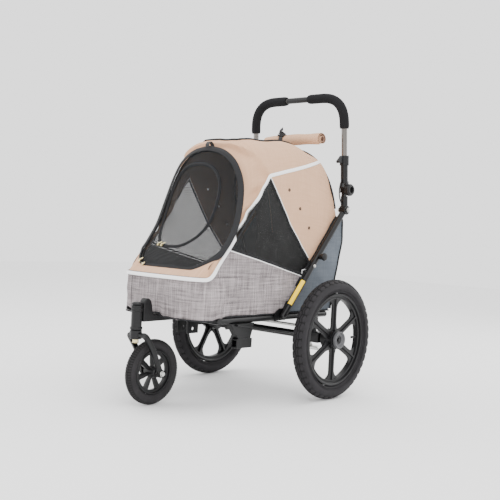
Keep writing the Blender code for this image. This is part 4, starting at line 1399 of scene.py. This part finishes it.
def make_piping():
    for suffix, side in LEFT_RIGHT:
        bm = new_mesh()
        points, normals = seam_path([SHOULDER, SKIRT_END], side, lift=0.0010)
        sweep(bm, points, circle(0.0016, 8), normals)
        points, normals = seam_path([PEAK, WINDOW_BEND, WINDOW_FOOT], side, lift=0.0010)
        sweep(bm, points[:-4], circle(0.0014, 8), normals[:-4])
        soft(add_piece(f"window_piping{suffix}", bm, WHITE, "chassis", "beige"))
        bm = new_mesh()
        points, normals = seam_path([(-0.4095, 0.4905), (-0.252, 0.7135), (-0.1465, 0.5715),
                                     (-0.0345, 0.4520)], side)
        sweep(bm, points, ribbon(0.006, 0.0010), normals)
        points, normals = seam_path([(-0.4090, 0.4900), (-0.060, 0.4095)], side)
        sweep(bm, points, ribbon(0.005, 0.0010), normals)
        points, normals = seam_path([(-0.066, 0.4045), (0.118, post_height(0.118))], side, lift=0.0006)
        sweep(bm, points, ribbon(0.013, 0.0022), normals)
        low = [at(side * 0.1860, y, post_height(y)) for y in (-0.164, -0.12, -0.072)]
        sweep(bm, low, ribbon(0.013, 0.0022), [Vector((side, 0, 0))] * 3)
        soft(add_piece(f"window_binding{suffix}", bm, BINDING, "chassis", "mesh"))
        make_gusset_flap(side, suffix)
    arch = [at(x, y + 0.001, z) for z, x, y in REAR_EDGE[5:]]
    arch = smooth_line(arch + mirrored(arch[:-1]), 8)
    soft(tube_piece("rear_arch_binding", arch, 0.0036, BINDING, "chassis", "mesh", sides=10))
    half, front, rear = ROOF_WINDOW
    loop = [(half, front + 0.02), (half, rear - 0.02), (half - 0.012, rear), (-half + 0.012, rear)]
    loop += [(-half, rear - 0.02), (-half, front + 0.02), (-half + 0.012, front), (half - 0.012, front)]
    flat = even_line([Vector((x, y, 0)) for x, y in loop + loop[:1]], 0.006)[:-1]
    hits = [on_roof(p.x, p.y) for p in flat]
    zip_ring("roof_zip", hits, 0.0004, ribbon(0.013, 0.0018))
    hem = [Vector((p.x, p.y + AXLE_Y, HEM)) for p in tub_outline(0.0012)]
    hem = [p - Vector((0, 0, hem_drop(p))) for p in hem]
    tube_piece("skirt_hem", hem, 0.0022, BINDING, "chassis", "melange", sides=8)
    bm = new_mesh()
    line = [at(-0.124, -0.5372 - 0.0022 * math.sin((z - 0.284) * 26), z)
            for z in np.linspace(0.286, 0.388, 14)]
    sweep(bm, line, circle(0.0008, 6), [Vector((0, -1, 0))] * 14)
    add_piece("nose_seams", bm, CHARCOAL_SEAMS_AND_SHADED_LINING, "chassis", "melange")


make_piping()
print("strips done")

# %% [markdown]
# ## Door
# The door is a net lofted across the door's edge, with a small belly forward. Its pieces ride on the door
# body. The black frame round it is sewn to the cabin, so it stays when the door opens.


# %% Door
DOOR_FOOT, DOOR_BELLY, DOOR_INSET, DOOR_STEPS = 0.4235, 0.011, 0.0035, 44
DOOR_SIDE = [p for p in cabin_columns()[0] if p.z > DOOR_FOOT]


def door_row(edge):
    """One level of the door's net, from its right edge to its left."""
    half = max(edge.x - DOOR_INSET, 0.002)
    row = []
    for step in range(DOOR_STEPS + 1):
        f = -1 + 2 * step / DOOR_STEPS
        low = max(0.0, 1 - (edge.z - DOOR_FOOT) / 0.05)
        belly = DOOR_BELLY * (1 - f * f) * (1 - 0.3 * low) * min(1.0, half / 0.07)
        row.append(Vector((half * f, edge.y - DOOR_INSET - belly, edge.z)))
    return row


def door_point(x, z):
    """The door's surface and outward direction at this place."""
    edge = min(DOOR_SIDE, key=lambda p: abs(p.z - z))
    k = DOOR_SIDE.index(edge)
    other = DOOR_SIDE[min(len(DOOR_SIDE) - 1, k + 1)] if z > edge.z else DOOR_SIDE[max(0, k - 1)]
    t = 0 if other.z == edge.z else max(0, min(1, (z - edge.z) / (other.z - edge.z)))
    half, y = edge.x + (other.x - edge.x) * t - DOOR_INSET, edge.y + (other.y - edge.y) * t
    f = max(-1, min(1, x / max(half, 0.002)))
    slope = (other.y - edge.y) / max(1e-6, abs(other.z - edge.z))
    point = Vector((x, y - DOOR_INSET - DOOR_BELLY * (1 - f * f) * min(1.0, half / 0.07), z))
    normal = Vector((0.25 * f, -1, max(-1.2, min(1.2, abs(slope))))).normalized()
    return point, normal


def foot_height(x):
    """Lower edge of the door opening: flat in the middle, and rising round both corners."""
    return 0.4225 + 0.053 * max(0.0, (abs(x) - 0.088) / 0.085) ** 2.4


def make_nose_cover():
    """Cloth between the door's foot and the tub's nose."""
    outer = [Vector((p.x, p.y + AXLE_Y, 0)) for p in tub_outline(0.0036)]
    outer = [Vector((p.x, p.y, nose_edge(p))) for p in outer if p.y - AXLE_Y < -0.474]
    for p in outer:
        p.x -= math.copysign(0.0075 * max(0.0, 1 - (-0.474 - (p.y - AXLE_Y)) / 0.034), p.x)
    bm = new_mesh()
    rows = []
    for number, p in enumerate(outer):
        f = -1 + 2 * number / (len(outer) - 1)
        x = -0.1735 * math.copysign(abs(f) ** 0.92, f)
        inner, _ = door_point(x, foot_height(x))
        inner += Vector((math.copysign(0.0030, x) * f * f, -0.0048, 0))
        row = []
        for step in range(11):
            t = step / 10
            q = p.lerp(inner, t)
            q += Vector((0, -0.0055, 0.003 * (1 - f**4))) * math.sin(math.pi * t)
            q += Vector((0, -1, 0)) * ripple(q, 16.0, 0.0016) * math.sin(math.pi * t)
            row.append(q)
        rows.append(row)
    loft(bm, rows)
    lay_map(bm, lambda p: (p.x, p.z - p.y))
    face_out(bm, Vector((0, -0.6, 0.8)))
    cloth_piece("nose_cover", bm, BEIGE, BEIGE, "chassis", "beige")


make_nose_cover()


def make_door():
    bm = new_mesh()
    loft(bm, [door_row(edge) for edge in DOOR_SIDE if edge.x > 0.0025])
    lay_map(bm, lambda p: (p.x, p.z - p.y * 0.6))
    face_out(bm, Vector((0, -1, 0)))
    cloth_piece("door_net", bm, NET, NET, "door", "mesh", ["front_door"], thick=0.0005)
    rim = [door_row(edge)[-1] for edge in DOOR_SIDE if edge.x > 0.006]
    rim = [p for p in rim if p.z > 0.485]
    foot = [door_point(x, foot_height(x))[0] for x in np.linspace(-0.1735, 0.1735, 60)]
    path = foot + rim + mirrored(rim)
    path = smooth_pass(even_line(path + path[:1], 0.007)[:-1], 2)
    middle = at(0, -0.30, 0.62)
    out = [(Vector((0, -0.9, 0.35)) + (p - middle).normalized() * 0.5).normalized() for p in path]
    bm = new_mesh()
    inner = [p.lerp(middle, 0.012) for p in path]
    tape = [p + n * 0.0006 for p, n in zip(inner, out)]
    sweep(bm, tape, ribbon(0.011, 0.0016), out, closed=True)
    add_stitches(bm, tape, out, 0.0042)
    soft(add_piece("door_edge_tape", bm, ZIP_TAPE, "door", "mesh", smooth=50))
    bm = new_mesh()
    outer = [middle + (p - middle) * 1.022 + n * 0.0014 for p, n in zip(path, out)]
    sweep(bm, outer, ribbon(0.0200, 0.0028), out, closed=True)
    soft(add_piece("door_frame_binding", bm, BINDING, "chassis", "mesh", smooth=50))
    bm = new_mesh()
    coil = [middle + (p - middle) * 1.006 + n * 0.0034 for p, n in zip(path, out)]
    sweep(bm, coil, circle(0.0024, 8), out, closed=True)
    teeth = even_line(coil + coil[:1], 0.0024)
    for number, (a, b) in enumerate(zip(teeth, teeth[1:])):
        run = (b - a).normalized()
        near = min(range(len(coil)), key=lambda k: (coil[k] - a).length_squared)
        side = run.cross(out[near]).normalized()
        lean = 0.0026 if number % 2 else 0.0020
        tooth = [a - side * lean + out[near] * 0.0016, a + side * lean + out[near] * 0.0016]
        sweep(bm, tooth, circle(0.00062, 5), [out[near]] * 2)
    soft(add_piece("door_zip", bm, BINDING, "chassis", "mesh", smooth=50))


make_door()


def tree_of(*names):
    """One ray-casting tree over several finished pieces."""
    points, faces = [], []
    for name in names:
        data = bpy.data.objects[name].data
        start = len(points)
        points += [v.co.copy() for v in data.vertices]
        faces += [[start + k for k in polygon.vertices] for polygon in data.polygons]
    return BVHTree.FromPolygons(points, faces)


SHELL = ["hood_shell", "nose_cover", "nose_skirt", "skirt_panel_left", "skirt_panel_right"]
SHELL += ["quarter_panel_left", "quarter_panel_right", "side_net_left", "side_net_right"]
OUTER_TREE = tree_of(*SHELL)
make_white_strip()


def make_hatch():
    """The zipped hatch inside the door: a rounded loop of tape with a coil and two pulls."""
    centre_x, centre_z, wide, tall, power = -0.038, 0.620, 0.113, 0.136, 2.55
    loop, normals = [], []
    for step in range(120):
        angle = math.tau * step / 120
        c, s = math.cos(angle), math.sin(angle)
        x = centre_x + wide * math.copysign(abs(c) ** (2 / power), c) + 0.012 * s
        z = centre_z + tall * math.copysign(abs(s) ** (2 / power), s)
        x = max(-0.172, min(0.172, x))
        point, normal = door_point(x, z)
        loop.append(point + normal * 0.0008)
        normals.append(normal)
    loop = smooth_pass(loop, 1)
    bm = new_mesh()
    sweep(bm, loop, ribbon(0.0125, 0.0016), normals, closed=True)
    sweep(bm, [p + n * 0.0022 for p, n in zip(loop, normals)], circle(0.0021, 8), normals, closed=True)
    for offset in (0.0052, -0.0052):
        add_stitches(bm, loop, normals, offset)
    soft(add_piece("hatch_zip", bm, ZIP_TAPE, "door", "mesh", smooth=50))
    for name, x, z in (("hatch_pull", -0.104, 0.4865), ("hatch_pull_top", -0.086, 0.4850)):
        point, normal = door_point(x, z)
        zip_pull(name, point + normal * 0.004, normal, "door")


def basis(normal):
    """Sideways, downward and outward directions for a part that stands on cloth."""
    normal = Vector(normal).normalized()
    side = normal.cross(Vector((0, 0, -1))).normalized()
    return side, side.cross(normal).normalized() * -1, normal


def stud(bm, point, normal, radius, height, hole=0.0):
    """A small turned part that stands on the cloth."""
    side, down, out = basis(normal)
    profile = [(hole, 0), (radius, 0), (radius, height * 0.5), (radius * 0.8, height),
               (max(hole, radius * 0.35), height)]
    profile += [(hole, height * 0.55)]
    rows = []
    for step in range(20):
        angle = math.tau * step / 20
        around = side * math.cos(angle) + down * math.sin(angle)
        rows.append([point + around * max(r, 0.0002) + out * h for r, h in profile])
    loft(bm, rows, closed_rows=True, closed_turn=True)


def zip_pull(name, point, normal, body):
    """A slider with a hanging tab."""
    side, down, out = basis(normal)
    bm = new_mesh()
    for low, high, half, lift in ((-0.006, 0.006, 0.0042, 0.0030), (-0.003, 0.003, 0.0016, 0.0052)):
        outline = [(-half, low), (half, low), (half * 1.25, high), (-half * 1.25, high)]
        rows = [[point + side * a + down * b + out * h for a, b in outline] for h in (-0.0005, lift)]
        loft(bm, rows, closed_rows=True, caps=True)
    tab = [point + side * d + down * d * 0.5 + out * 0.0040 for d in (0.002, 0.007, 0.012, 0.016)]
    sweep(bm, tab, ribbon(0.0044, 0.0016), [out] * 4)
    soft(add_piece(name, bm, BRASS, body, "zinc"))


make_hatch()
for pull_name, place_x in (("door_pull_1", -0.128), ("door_pull_2", -0.106)):
    spot, facing = door_point(place_x, foot_height(place_x))
    zip_pull(pull_name, spot + facing * 0.0075, facing, "chassis")
print("door done")


# %% Hooks, eyelets and reflectors
def make_trim():
    bm = new_mesh()
    loop = ((-0.352, 0.806), (-0.357, 0.818), (-0.347, 0.829), (-0.334, 0.822), (-0.330, 0.810))
    sweep(bm, smooth_line([at(0.0, y, z) for y, z in loop], 6), ribbon(0.016, 0.0022))
    soft(add_piece("hood_hook", bm, WEBBING, "chassis", "mesh"))
    for suffix, side in LEFT_RIGHT:
        bm, painted_glints = new_mesh(), new_mesh()
        for y, z in ((-0.153, 0.687), (-0.096, 0.629), (-0.0425, 0.567)):
            point, normal = on_side(y, z, side)
            stud(bm, point + normal * 0.0002, normal, 0.0052, 0.0018, 0.0026)
            # A small white disc just behind each eyelet's hole is a painted glint, standing in for the shine of the
            # steel grommet.
            stud(painted_glints, point - normal * 0.0024, -normal, 0.0040, 0.0010)
        soft(add_piece(f"eyelets{suffix}", bm, BINDING, "chassis", "steel"))
        soft(add_piece(f"eyelet_backs{suffix}", painted_glints, WHITE, "chassis", "steel"))
    for suffix, side in LEFT_RIGHT:
        bm = new_mesh()
        radius = 0.0112
        arc = [(radius * math.sin(a), radius * math.cos(a)) for a in np.linspace(-0.72, 0.72, 9)]
        arc += [((radius - 0.0009) * x / radius, (radius - 0.0009) * y / radius) for x, y in reversed(arc)]
        path = [at(side * POST_X, y, post_height(y)) for y in np.linspace(-0.146, -0.080, 8)]
        ahead = Vector((side * 0.62, -0.70, 0.30))
        sweep(bm, path, arc, [ahead] * 8)
        add_piece(f"reflector{suffix}", bm, YELLOW, "uprights", "plastic_black")


make_trim()


# %% Small hardware
def hex_nut(bm, centre, axis, radius, low, high, bore):
    sides = [(radius * math.cos(math.tau * k / 6), radius * math.sin(math.tau * k / 6)) for k in range(6)]
    rows = []
    mid = (low + high) / 2
    rise = 0.12 * (high - low)
    for scale, along in ((0.86, low), (1.0, low + rise), (1.0, high - rise), (0.86, high)):
        rows.append([centre + Vector(on_axis(axis, a * scale, b * scale, along)) for a, b in sides])
    loft(bm, rows, closed_rows=True, caps=True)
    lathe(bm, [(bore, mid), (radius * 1.12, low), (radius * 1.12, low + rise), (bore, low + rise * 1.2)],
          centre, axis, 24)


def make_hardware():
    bm = new_mesh()
    for side in (-1, 1):
        low, high = sorted((side * 0.0465, side * 0.0525))
        hex_nut(bm, CASTER, "X", 0.0075, low, high, 0.0045)
    add_piece("caster_nuts", bm, ZINC, "caster", "zinc")
    head = Vector((0, HEAD_Y, 0))
    bm = new_mesh()
    cup = [(0.0166, 0.2350), (0.0186, 0.2362), (0.0190, 0.2415), (0.0174, 0.2440), (0.0166, 0.2440)]
    lathe(bm, cup, head, "Z", 40)
    cup = [(0.0166, 0.2905), (0.0180, 0.2915), (0.0182, 0.2985), (0.0166, 0.3000)]
    lathe(bm, cup, head, "Z", 40)
    add_piece("head_cups", bm, MOULDED, "chassis", "plastic_black")
    bm = new_mesh()
    hex_nut(bm, head, "Z", 0.0092, 0.1960, 0.2068, 0.0058)
    add_piece("kingpin_nut", bm, BRASS, "caster", "zinc")
    bm = new_mesh()
    cap = [(0.0002, 0.3100), (0.0150, 0.3100), (0.0165, 0.3110), (0.0160, 0.3150), (0.0110, 0.3180),
           (0.0002, 0.3188)]
    lathe(bm, cap, head, "Z", 36)
    add_piece("head_cap", bm, MOULDED, "chassis", "plastic_black")
    for suffix, side in LEFT_RIGHT:
        bm = new_mesh()
        hinge = at(side * POST_X, *HINGE)
        for face in (-1, 1):
            low, high = sorted((face * 0.0165, face * 0.0215))
            hex_nut(bm, hinge, "X", 0.0075, low, high, 0.0045)
        bolt = at(side * POST_X, -0.034, post_height(-0.034))
        low, high = sorted((side * 0.0098, side * 0.0135))
        hex_nut(bm, bolt, "X", 0.0052, low, high, 0.0030)
        add_piece(f"hinge_nuts{suffix}", bm, ZINC, "uprights", "zinc")
        bm = new_mesh()
        knob_at = middle_of(f"lock_plunger{suffix}")
        face = Vector((side * 0.0066, 0, 0))
        dome = [(0.0002, 0.0), (0.0115, 0.0), (0.0132, 0.003), (0.0134, 0.006), (0.0110, 0.0095),
                (0.0055, 0.0112), (0.0002, 0.0115)]
        lathe(bm, [(r, side * a) for r, a in dome], knob_at + face, steps=32)
        add_piece(f"plunger_cap{suffix}", bm, MOULDED, f"plunger{suffix}", "plastic_black")
        bm = new_mesh()
        knob = middle_of(f"angle_knob{suffix}")
        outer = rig.box(f"angle_knob{suffix}")[1 if side > 0 else 0][0]
        ring = [(0.0105, 0.0), (0.0170, 0.0), (0.0185, -0.0016), (0.0170, 0.0018), (0.0130, 0.0022),
                (0.0110, 0.0016)]
        lathe(bm, [(r, side * a) for r, a in ring], Vector((outer, knob.y, knob.z)), steps=36)
        add_piece(f"knob_rim{suffix}", bm, MOULDED, f"knob{suffix}", "plastic_black")


make_hardware()


def beveled(obj, width, segments=2):
    edge = obj.modifiers.new("edge", "BEVEL")
    edge.width, edge.segments, edge.limit_method = width, segments, "ANGLE"
    return apply_all(obj)


def make_front_end():
    """Beam, rounded arch and the caster's strap fork."""
    bm = new_mesh()
    y0 = HEAD_Y - AXLE_Y
    arch = [(-0.6025, 0.2580), (-0.6025, 0.3100), (-0.5990, 0.3220), (-0.5920, 0.3285), (-0.5830, 0.3285)]
    arch += [(-0.5745, 0.3220), (-0.5695, 0.3080), (-0.5665, 0.2900), (-0.5610, 0.2800), (-0.5500, 0.2785)]
    arch += [(-0.4712, 0.2785), (-0.4712, 0.2590)]
    plate(bm, [(a + AXLE_Y, b) for a, b in arch], -0.0120, 0.0120)
    beam = add_piece("front_arch", bm, MOULDED, "chassis", "frame_black", ["front_beam"], 40)
    beveled(beam, 0.0028, 3)
    bm = new_mesh()
    crown = [(0.0168, 0.2075), (0.0182, 0.2085), (0.0182, 0.2330), (0.0168, 0.2342), (0.0085, 0.2342),
             (0.0085, 0.2075)]
    lathe(bm, crown, Vector((0, HEAD_Y, 0)), "Z", 40)
    strap = [(-0.0085, -0.0036), (-0.0066, -0.0048), (0.0066, -0.0048), (0.0085, -0.0036), (0.0085, 0.0036)]
    strap += [(0.0066, 0.0048), (-0.0066, 0.0048), (-0.0085, 0.0036)]
    front_y = CASTER.y - AXLE_Y
    for side in (-1, 1):
        corners = [(side * 0.008, y0, 0.2210), (side * 0.0390, y0 + 0.004, 0.2210),
                   (side * 0.0390, front_y - 0.034, 0.176)]
        corners += [(side * 0.0390, front_y, 0.1010)]
        route = even_line(smooth_pass(rounded([at(*c) for c in corners], 0.034, 10), 2), 0.005)
        out = []
        for p in route:
            away = min(1.0, max(0.0, (abs(p.x) - 0.012) / 0.024))
            out.append(Vector((side * away, 0, 1.0 - away + 0.001)).normalized())
        sweep(bm, route, strap, out)
        low, high = sorted((side * 0.0338, side * 0.0440))
        eye = [(0.0052, low), (0.0118, low), (0.0128, low + 0.001), (0.0128, high - 0.001),
               (0.0118, high), (0.0052, high)]
        lathe(bm, eye, CASTER, steps=32)
    add_piece("strap_fork", bm, POWDER, "caster", "frame_black", ["front_fork"], 40)


make_front_end()


BAR_TOP, GRIP_FOOT = 1.029, 0.9165


def make_handle_pieces():
    """Foam grips with rolled ends, over the telescopic bar."""
    (y0, z0), (y1, z1) = HINGE, HINGE_TOP
    bar = [(POST_X, y0 + (z - z0) * (y1 - y0) / (z1 - z0), z) for z in (0.770, BAR_TOP)]
    corners = [at(*bar[0]), at(*bar[1]), at(-bar[1][0], *bar[1][1:]), at(-bar[0][0], *bar[0][1:])]
    path = even_line(rounded(corners, 0.095, 16), 0.006)
    tube_piece("telescopic_bar", path, 0.0100, BAR_STEEL_PAINTED_REFLECTION, "handle_upper", "steel", ["handlebar"], 28)
    middle_bar = [at(x, *bar[1][1:]) for x in np.linspace(-0.047, 0.047, 9)]
    tube_piece("middle_bar", middle_bar, 0.0103, POWDER, "handle_upper", "frame_black", sides=24)
    for suffix, side in LEFT_RIGHT:
        line = even_line([p for p in path if p.x * side > 0.046 and p.z > GRIP_FOOT], 0.006)
        bm = new_mesh()
        rows = []
        hold = Vector((0, 1, 0))
        count = len(line)
        for i, point in enumerate(line):
            tangent = (line[min(i + 1, count - 1)] - line[max(i - 1, 0)]).normalized()
            out = (hold - tangent * hold.dot(tangent)).normalized()
            across = tangent.cross(out)
            end = min(i, count - 1 - i)
            radius = 0.0168 - (0.0020, 0.0005, 0.0)[min(end, 2)] + ripple(point, 60, 0.00018)
            rows.append([point + out * a + across * b for a, b in circle(radius, 28)])
        first, last = [p.lerp(line[0], 0.34) for p in rows[0]], [p.lerp(line[-1], 0.34) for p in rows[-1]]
        loft(bm, [first] + rows + [last], closed_rows=True)
        add_piece(f"foam_grip{suffix}", bm, FOAM, "handle_upper", "grip_foam", [f"grip{suffix}"], 60)


# The bar's steel gets a dark, brownish colour: this is a painted dark reflection, not the steel's own tint.
BAR_STEEL_PAINTED_REFLECTION = grained("dark_polished_steel", (0.16, 0.15, 0.14), 0.24, 1.0, 1800, 0.01 * MM)
make_handle_pieces()
print("hardware and handle done")

# %% [markdown]
# ## Roof cover, rear panel and mat
# The roof cover is a real roll: a spiral of cloth with one buckled strap. The mat is a stuffed cushion,
# puffed by a short cloth simulation and then quilted.


# %% Roof roll
ROLL_X, ROLL_Y, ROLL_Z, STRAP_X = 0.018, 0.066, 0.8815, -0.030


def make_roll():
    bm = new_mesh()
    spiral = []
    turns, start, thick = 2.6, 0.0095, 0.0052
    for step in range(90):
        f = step / 89
        angle = math.tau * turns * f + 0.6
        radius = start + thick * turns * f
        spiral.append((radius * math.cos(angle), radius * math.sin(angle) * 0.93))
    rows = []
    for step in range(53):
        x = ROLL_X - 0.1250 + 0.250 * step / 52
        row = []
        for index, (a, b) in enumerate(spiral):
            wave = 1 + 0.045 * math.sin(x * 61 + 0.3 * a / 0.004) * (index / 89)
            dent = 0.20 * math.exp(-(((x - STRAP_X) / 0.014) ** 2))
            pinch = 1 - dent - 0.10 * max(0.0, (STRAP_X - x) / 0.1)
            place = at(x, ROLL_Y + a * wave * pinch, ROLL_Z + b * wave * pinch - 0.05 * max(0.0, STRAP_X - x))
            row.append(place + Vector((0.003 * math.sin(index * 0.13) * (1 if step in (0, 52) else 0), 0, 0)))
        rows.append(row)
    loft(bm, rows)
    bm.normal_update()
    centres = [(f, f.calc_center_median()) for f in bm.faces]
    outer = [(f, c) for f, c in centres if (c - at(c.x, ROLL_Y, ROLL_Z)).length > 0.017]
    if sum(f.normal.dot(c - at(0, ROLL_Y, ROLL_Z)) for f, c in outer) < 0:
        bmesh.ops.reverse_faces(bm, faces=bm.faces)
    cloth_piece("roof_roll", bm, BEIGE, NET_BACK, "chassis", "beige", ["roof_cover_roll"], thick=0.0012)
    bm = new_mesh()
    x, angles = STRAP_X, np.linspace(0, math.tau, 29)[:-1]
    ring = [at(x, ROLL_Y + 0.0200 * math.cos(t), ROLL_Z + 0.0192 * math.sin(t)) for t in angles]
    out = [(p - at(x, ROLL_Y, ROLL_Z)).normalized() for p in ring]
    sweep(bm, ring, ribbon(0.018, 0.0018), out, closed=True)
    tail = smooth_line([at(x, ROLL_Y - 0.004, ROLL_Z + 0.0205), at(x - 0.006, ROLL_Y - 0.012, ROLL_Z + 0.031),
                        at(x + 0.006, ROLL_Y - 0.014, ROLL_Z + 0.040)], 6)
    sweep(bm, tail, ribbon(0.014, 0.0016), [Vector((0, -0.8, 0.4))] * len(tail))
    for lift, half, deep in ((0.0195, 0.0130, 0.0060), (0.0250, 0.0085, 0.0040)):
        outline = [(x - half, -0.011), (x + half, -0.011), (x + half * 1.15, 0.0), (x + half, 0.009),
                   (x - half, 0.009)]
        outline += [(x - half * 1.15, 0.0)]
        rows = [[Vector((a, ROLL_Y + AXLE_Y - 0.010 + b, ROLL_Z + rise)) for a, b in outline]
                for rise in (lift - deep, lift)]
        loft(bm, rows, closed_rows=True, caps=True)
    soft(add_piece("roll_strap", bm, WEBBING, "chassis", "mesh"))


NET_BACK = woven("cover_back", (0.20, 0.11, 0.08), (0.32, 0.19, 0.14), 0.8, 0.1 * MM, 0.3)
make_roll()


# %% Rear panel
BACK_SEAM = 0.47


def make_rear():
    """The back: cloth above and below a white strip, with a zipped net window."""
    edge = [p for p in cabin_columns()[-1] if p.x > 0.010]
    window = (0.112, 0.545, 0.745)
    bm = new_mesh()
    rows = []
    for p in edge:
        row = []
        for step in range(41):
            f = -1 + step / 20
            bulge = 0.007 * (1 - f * f) * min(1, (p.z - TUB_TOP) / 0.06)
            place = Vector((f * (p.x - 0.003), p.y - 0.003 + bulge, p.z))
            place.y += ripple(place, 12, 0.0022) * (1 - f * f)
            row.append(place)
        rows.append(row)
    loft(bm, rows)
    lay_map(bm, lambda p: (p.x, p.z))
    half, low, high = window
    planes = [((half, 0, 0), (1, 0, 0)), ((-half, 0, 0), (1, 0, 0)), ((0, 0, low), (0, 0, 1)),
              ((0, 0, high), (0, 0, 1))]
    for point, normal in planes + [((0, 0, BACK_SEAM), (0, 0, 1))]:
        cut(bm, point, normal)
    face_out(bm, Vector((0, 1, 0)))

    def label(face):
        c = face.calc_center_median()
        if abs(c.x) < half and low < c.z < high:
            return "net"
        return "low" if c.z < BACK_SEAM else "high"

    looks = (("high", "back_upper", BEIGE, CHARCOAL_SEAMS_AND_SHADED_LINING, "beige", 0.0016, ["rear_panel"]),)
    looks += (("low", "back_lower", MELANGE, CHARCOAL_SEAMS_AND_SHADED_LINING, "melange", 0.0016, []),)
    looks += (("net", "back_net", DENSE_NET, DENSE_NET, "mesh", 0.0005, []),)
    for wanted, name, outer, inner, slot, thick, stands in looks:
        part = bm.copy()
        bmesh.ops.delete(part, geom=[f for f in part.faces if label(f) != wanted], context="FACES")
        cloth_piece(name, part, outer, inner, "chassis", slot, stands, thick=thick)
    tree = BVHTree.FromBMesh(bm)
    bm.free()

    def behind(x, z):
        hit, normal, _, _ = tree.ray_cast(at(x, 0.6, z), Vector((0, -1, 0)))
        return hit, normal if normal.y > 0 else -normal

    loop = [(-half + 0.014, low), (half - 0.014, low), (half, low + 0.014), (half, high - 0.014),
            (half - 0.014, high)]
    loop += [(-half + 0.014, high), (-half, high - 0.014), (-half, low + 0.014)]
    flat = even_line([Vector((x, 0, z)) for x, z in loop + loop[:1]], 0.008)[:-1]
    hits = [behind(p.x, p.z) for p in flat]
    zip_ring("back_zip", hits, 0.0006, ribbon(0.014, 0.0018))
    trim = new_mesh()
    hits = [behind(x, BACK_SEAM) for x in np.linspace(-0.176, 0.176, 60)]
    sweep(trim, [h + n * 0.0006 for h, n in hits], ribbon(0.0110, 0.0013), [n for _, n in hits])
    soft(add_piece("back_strip", trim, WHITE, "chassis", "beige"))


make_rear()


# %% Mat
def make_mat():
    bpy.ops.object.select_all(action="DESELECT")
    bpy.ops.mesh.primitive_cube_add(size=1, location=at(0, -0.175, 0.3118))
    mat = bpy.context.object
    mat.name = "floor_mat"
    mat.scale = (0.316, 0.505, 0.024)
    bpy.ops.object.transform_apply(location=True, rotation=False, scale=True)
    bevel = mat.modifiers.new("round", "BEVEL")
    bevel.width, bevel.segments = 0.009, 3
    apply_all(mat)
    remesh = mat.modifiers.new("remesh", "REMESH")
    remesh.mode, remesh.voxel_size = "VOXEL", 0.0055
    apply_all(mat)
    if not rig.quick():
        cloth = mat.modifiers.new("puff", "CLOTH")
        cloth.settings.quality = 5
        cloth.settings.mass = 0.2
        cloth.settings.use_pressure = True
        cloth.settings.uniform_pressure_force = 2.0
        cloth.settings.effector_weights.gravity = 0.0
        cloth.settings.tension_stiffness = 25
        cloth.settings.compression_stiffness = 25
        before = [v.co.copy() for v in mat.data.vertices]
        for frame_number in range(1, 13):
            bpy.context.scene.frame_set(frame_number)
        apply_all(mat)
        bpy.context.scene.frame_set(1)
        for vert, old in zip(mat.data.vertices, before):
            move = vert.co - old
            if move.length > 0.004:
                vert.co = old + move * (0.004 / move.length)
    bm = bmesh.new()
    bm.from_mesh(mat.data)
    bmesh.ops.smooth_vert(bm, verts=bm.verts, factor=0.4, use_axis_x=True, use_axis_y=True, use_axis_z=True)
    bm.loops.layers.uv.new("cloth")
    middle = middle_of("floor_board")
    for vert in bm.verts:
        if vert.co.z > middle.z + 0.018:
            for run, start in ((vert.co.y - AXLE_Y, -0.2), (vert.co.x, 0.0)):
                groove = math.exp(-((((run - start + 0.05) % 0.1) - 0.05) / 0.0055) ** 2)
                vert.co.z -= 0.0045 * groove
            vert.co.z += ripple(vert.co, 18, 0.0012)
        vert.co.z = max(vert.co.z, 0.2966)
        vert.co.x = max(-0.166, min(0.166, vert.co.x))
    lay_map(bm, lambda p: (p.x, p.y))
    bm.to_mesh(mat.data)
    bm.free()
    smooth = mat.modifiers.new("smooth", "SUBSURF")
    smooth.levels = smooth.render_levels = 1
    apply_all(mat)
    mat.data.materials.clear()
    mat.data.materials.append(MAT_CLOTH)
    bpy.ops.object.shade_smooth()
    origin = mat.matrix_world.copy()
    mat.data.transform(origin)
    mat.matrix_world = Matrix.Identity(4)
    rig.ride(mat, "chassis")
    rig.slot(mat, "board")
    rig.padded(mat, fill=0.5)
    return len(mat.data.polygons)


print("mat faces", make_mat())

# %% [markdown]
# ## Finishes on the frame
# The frame's own nodes keep their shape. Each one gets its finish here.

# %% Frame finishes
FRAME_LOOKS = (
    (POWDER, "side_rail upright upper_hinge axle_bracket fold_bracket tow_bracket tow_receiver stay_rod"),
    (POWDER, "roof_hoop rear_axle_beam front_cross_tube middle_cross_tube bracket_cross_tube under_bracket"),
    (POWDER, "front_beam front_fork steering_head handle_sleeve"),
    (MOULDED, "angle_knob clamp_collar clamp_lever fold_pull lock_plunger release_button swivel_lock_lever"),
    (POWDER, "axle_stub"),
    (ZINC, "brake_bar front_axle_bolt hinge_bolt"),
    (CHROME, "handlebar"),
    (FOAM, "grip"),
    (BOARD, "floor_board"),
)


def dress_frame():
    hidden = {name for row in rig.table()["pieces"] for name in row.get("replaces", [])}
    done = set()
    for look, stems in FRAME_LOOKS:
        for stem in stems.split():
            for name in (stem, f"{stem}_left", f"{stem}_right"):
                if name in frame["nodes"]:
                    data = frame["nodes"][name].data
                    data.materials.clear()
                    data.materials.append(look)
                    done.add(name)
    return sorted(set(frame["nodes"]) - done - hidden)


print("left undressed:", dress_frame())

# %% Finish
with open("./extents.json", "w") as record:
    json.dump({"cad": [list(v) for v in frame_box], "visual": [list(v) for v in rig.bounds()]}, record)
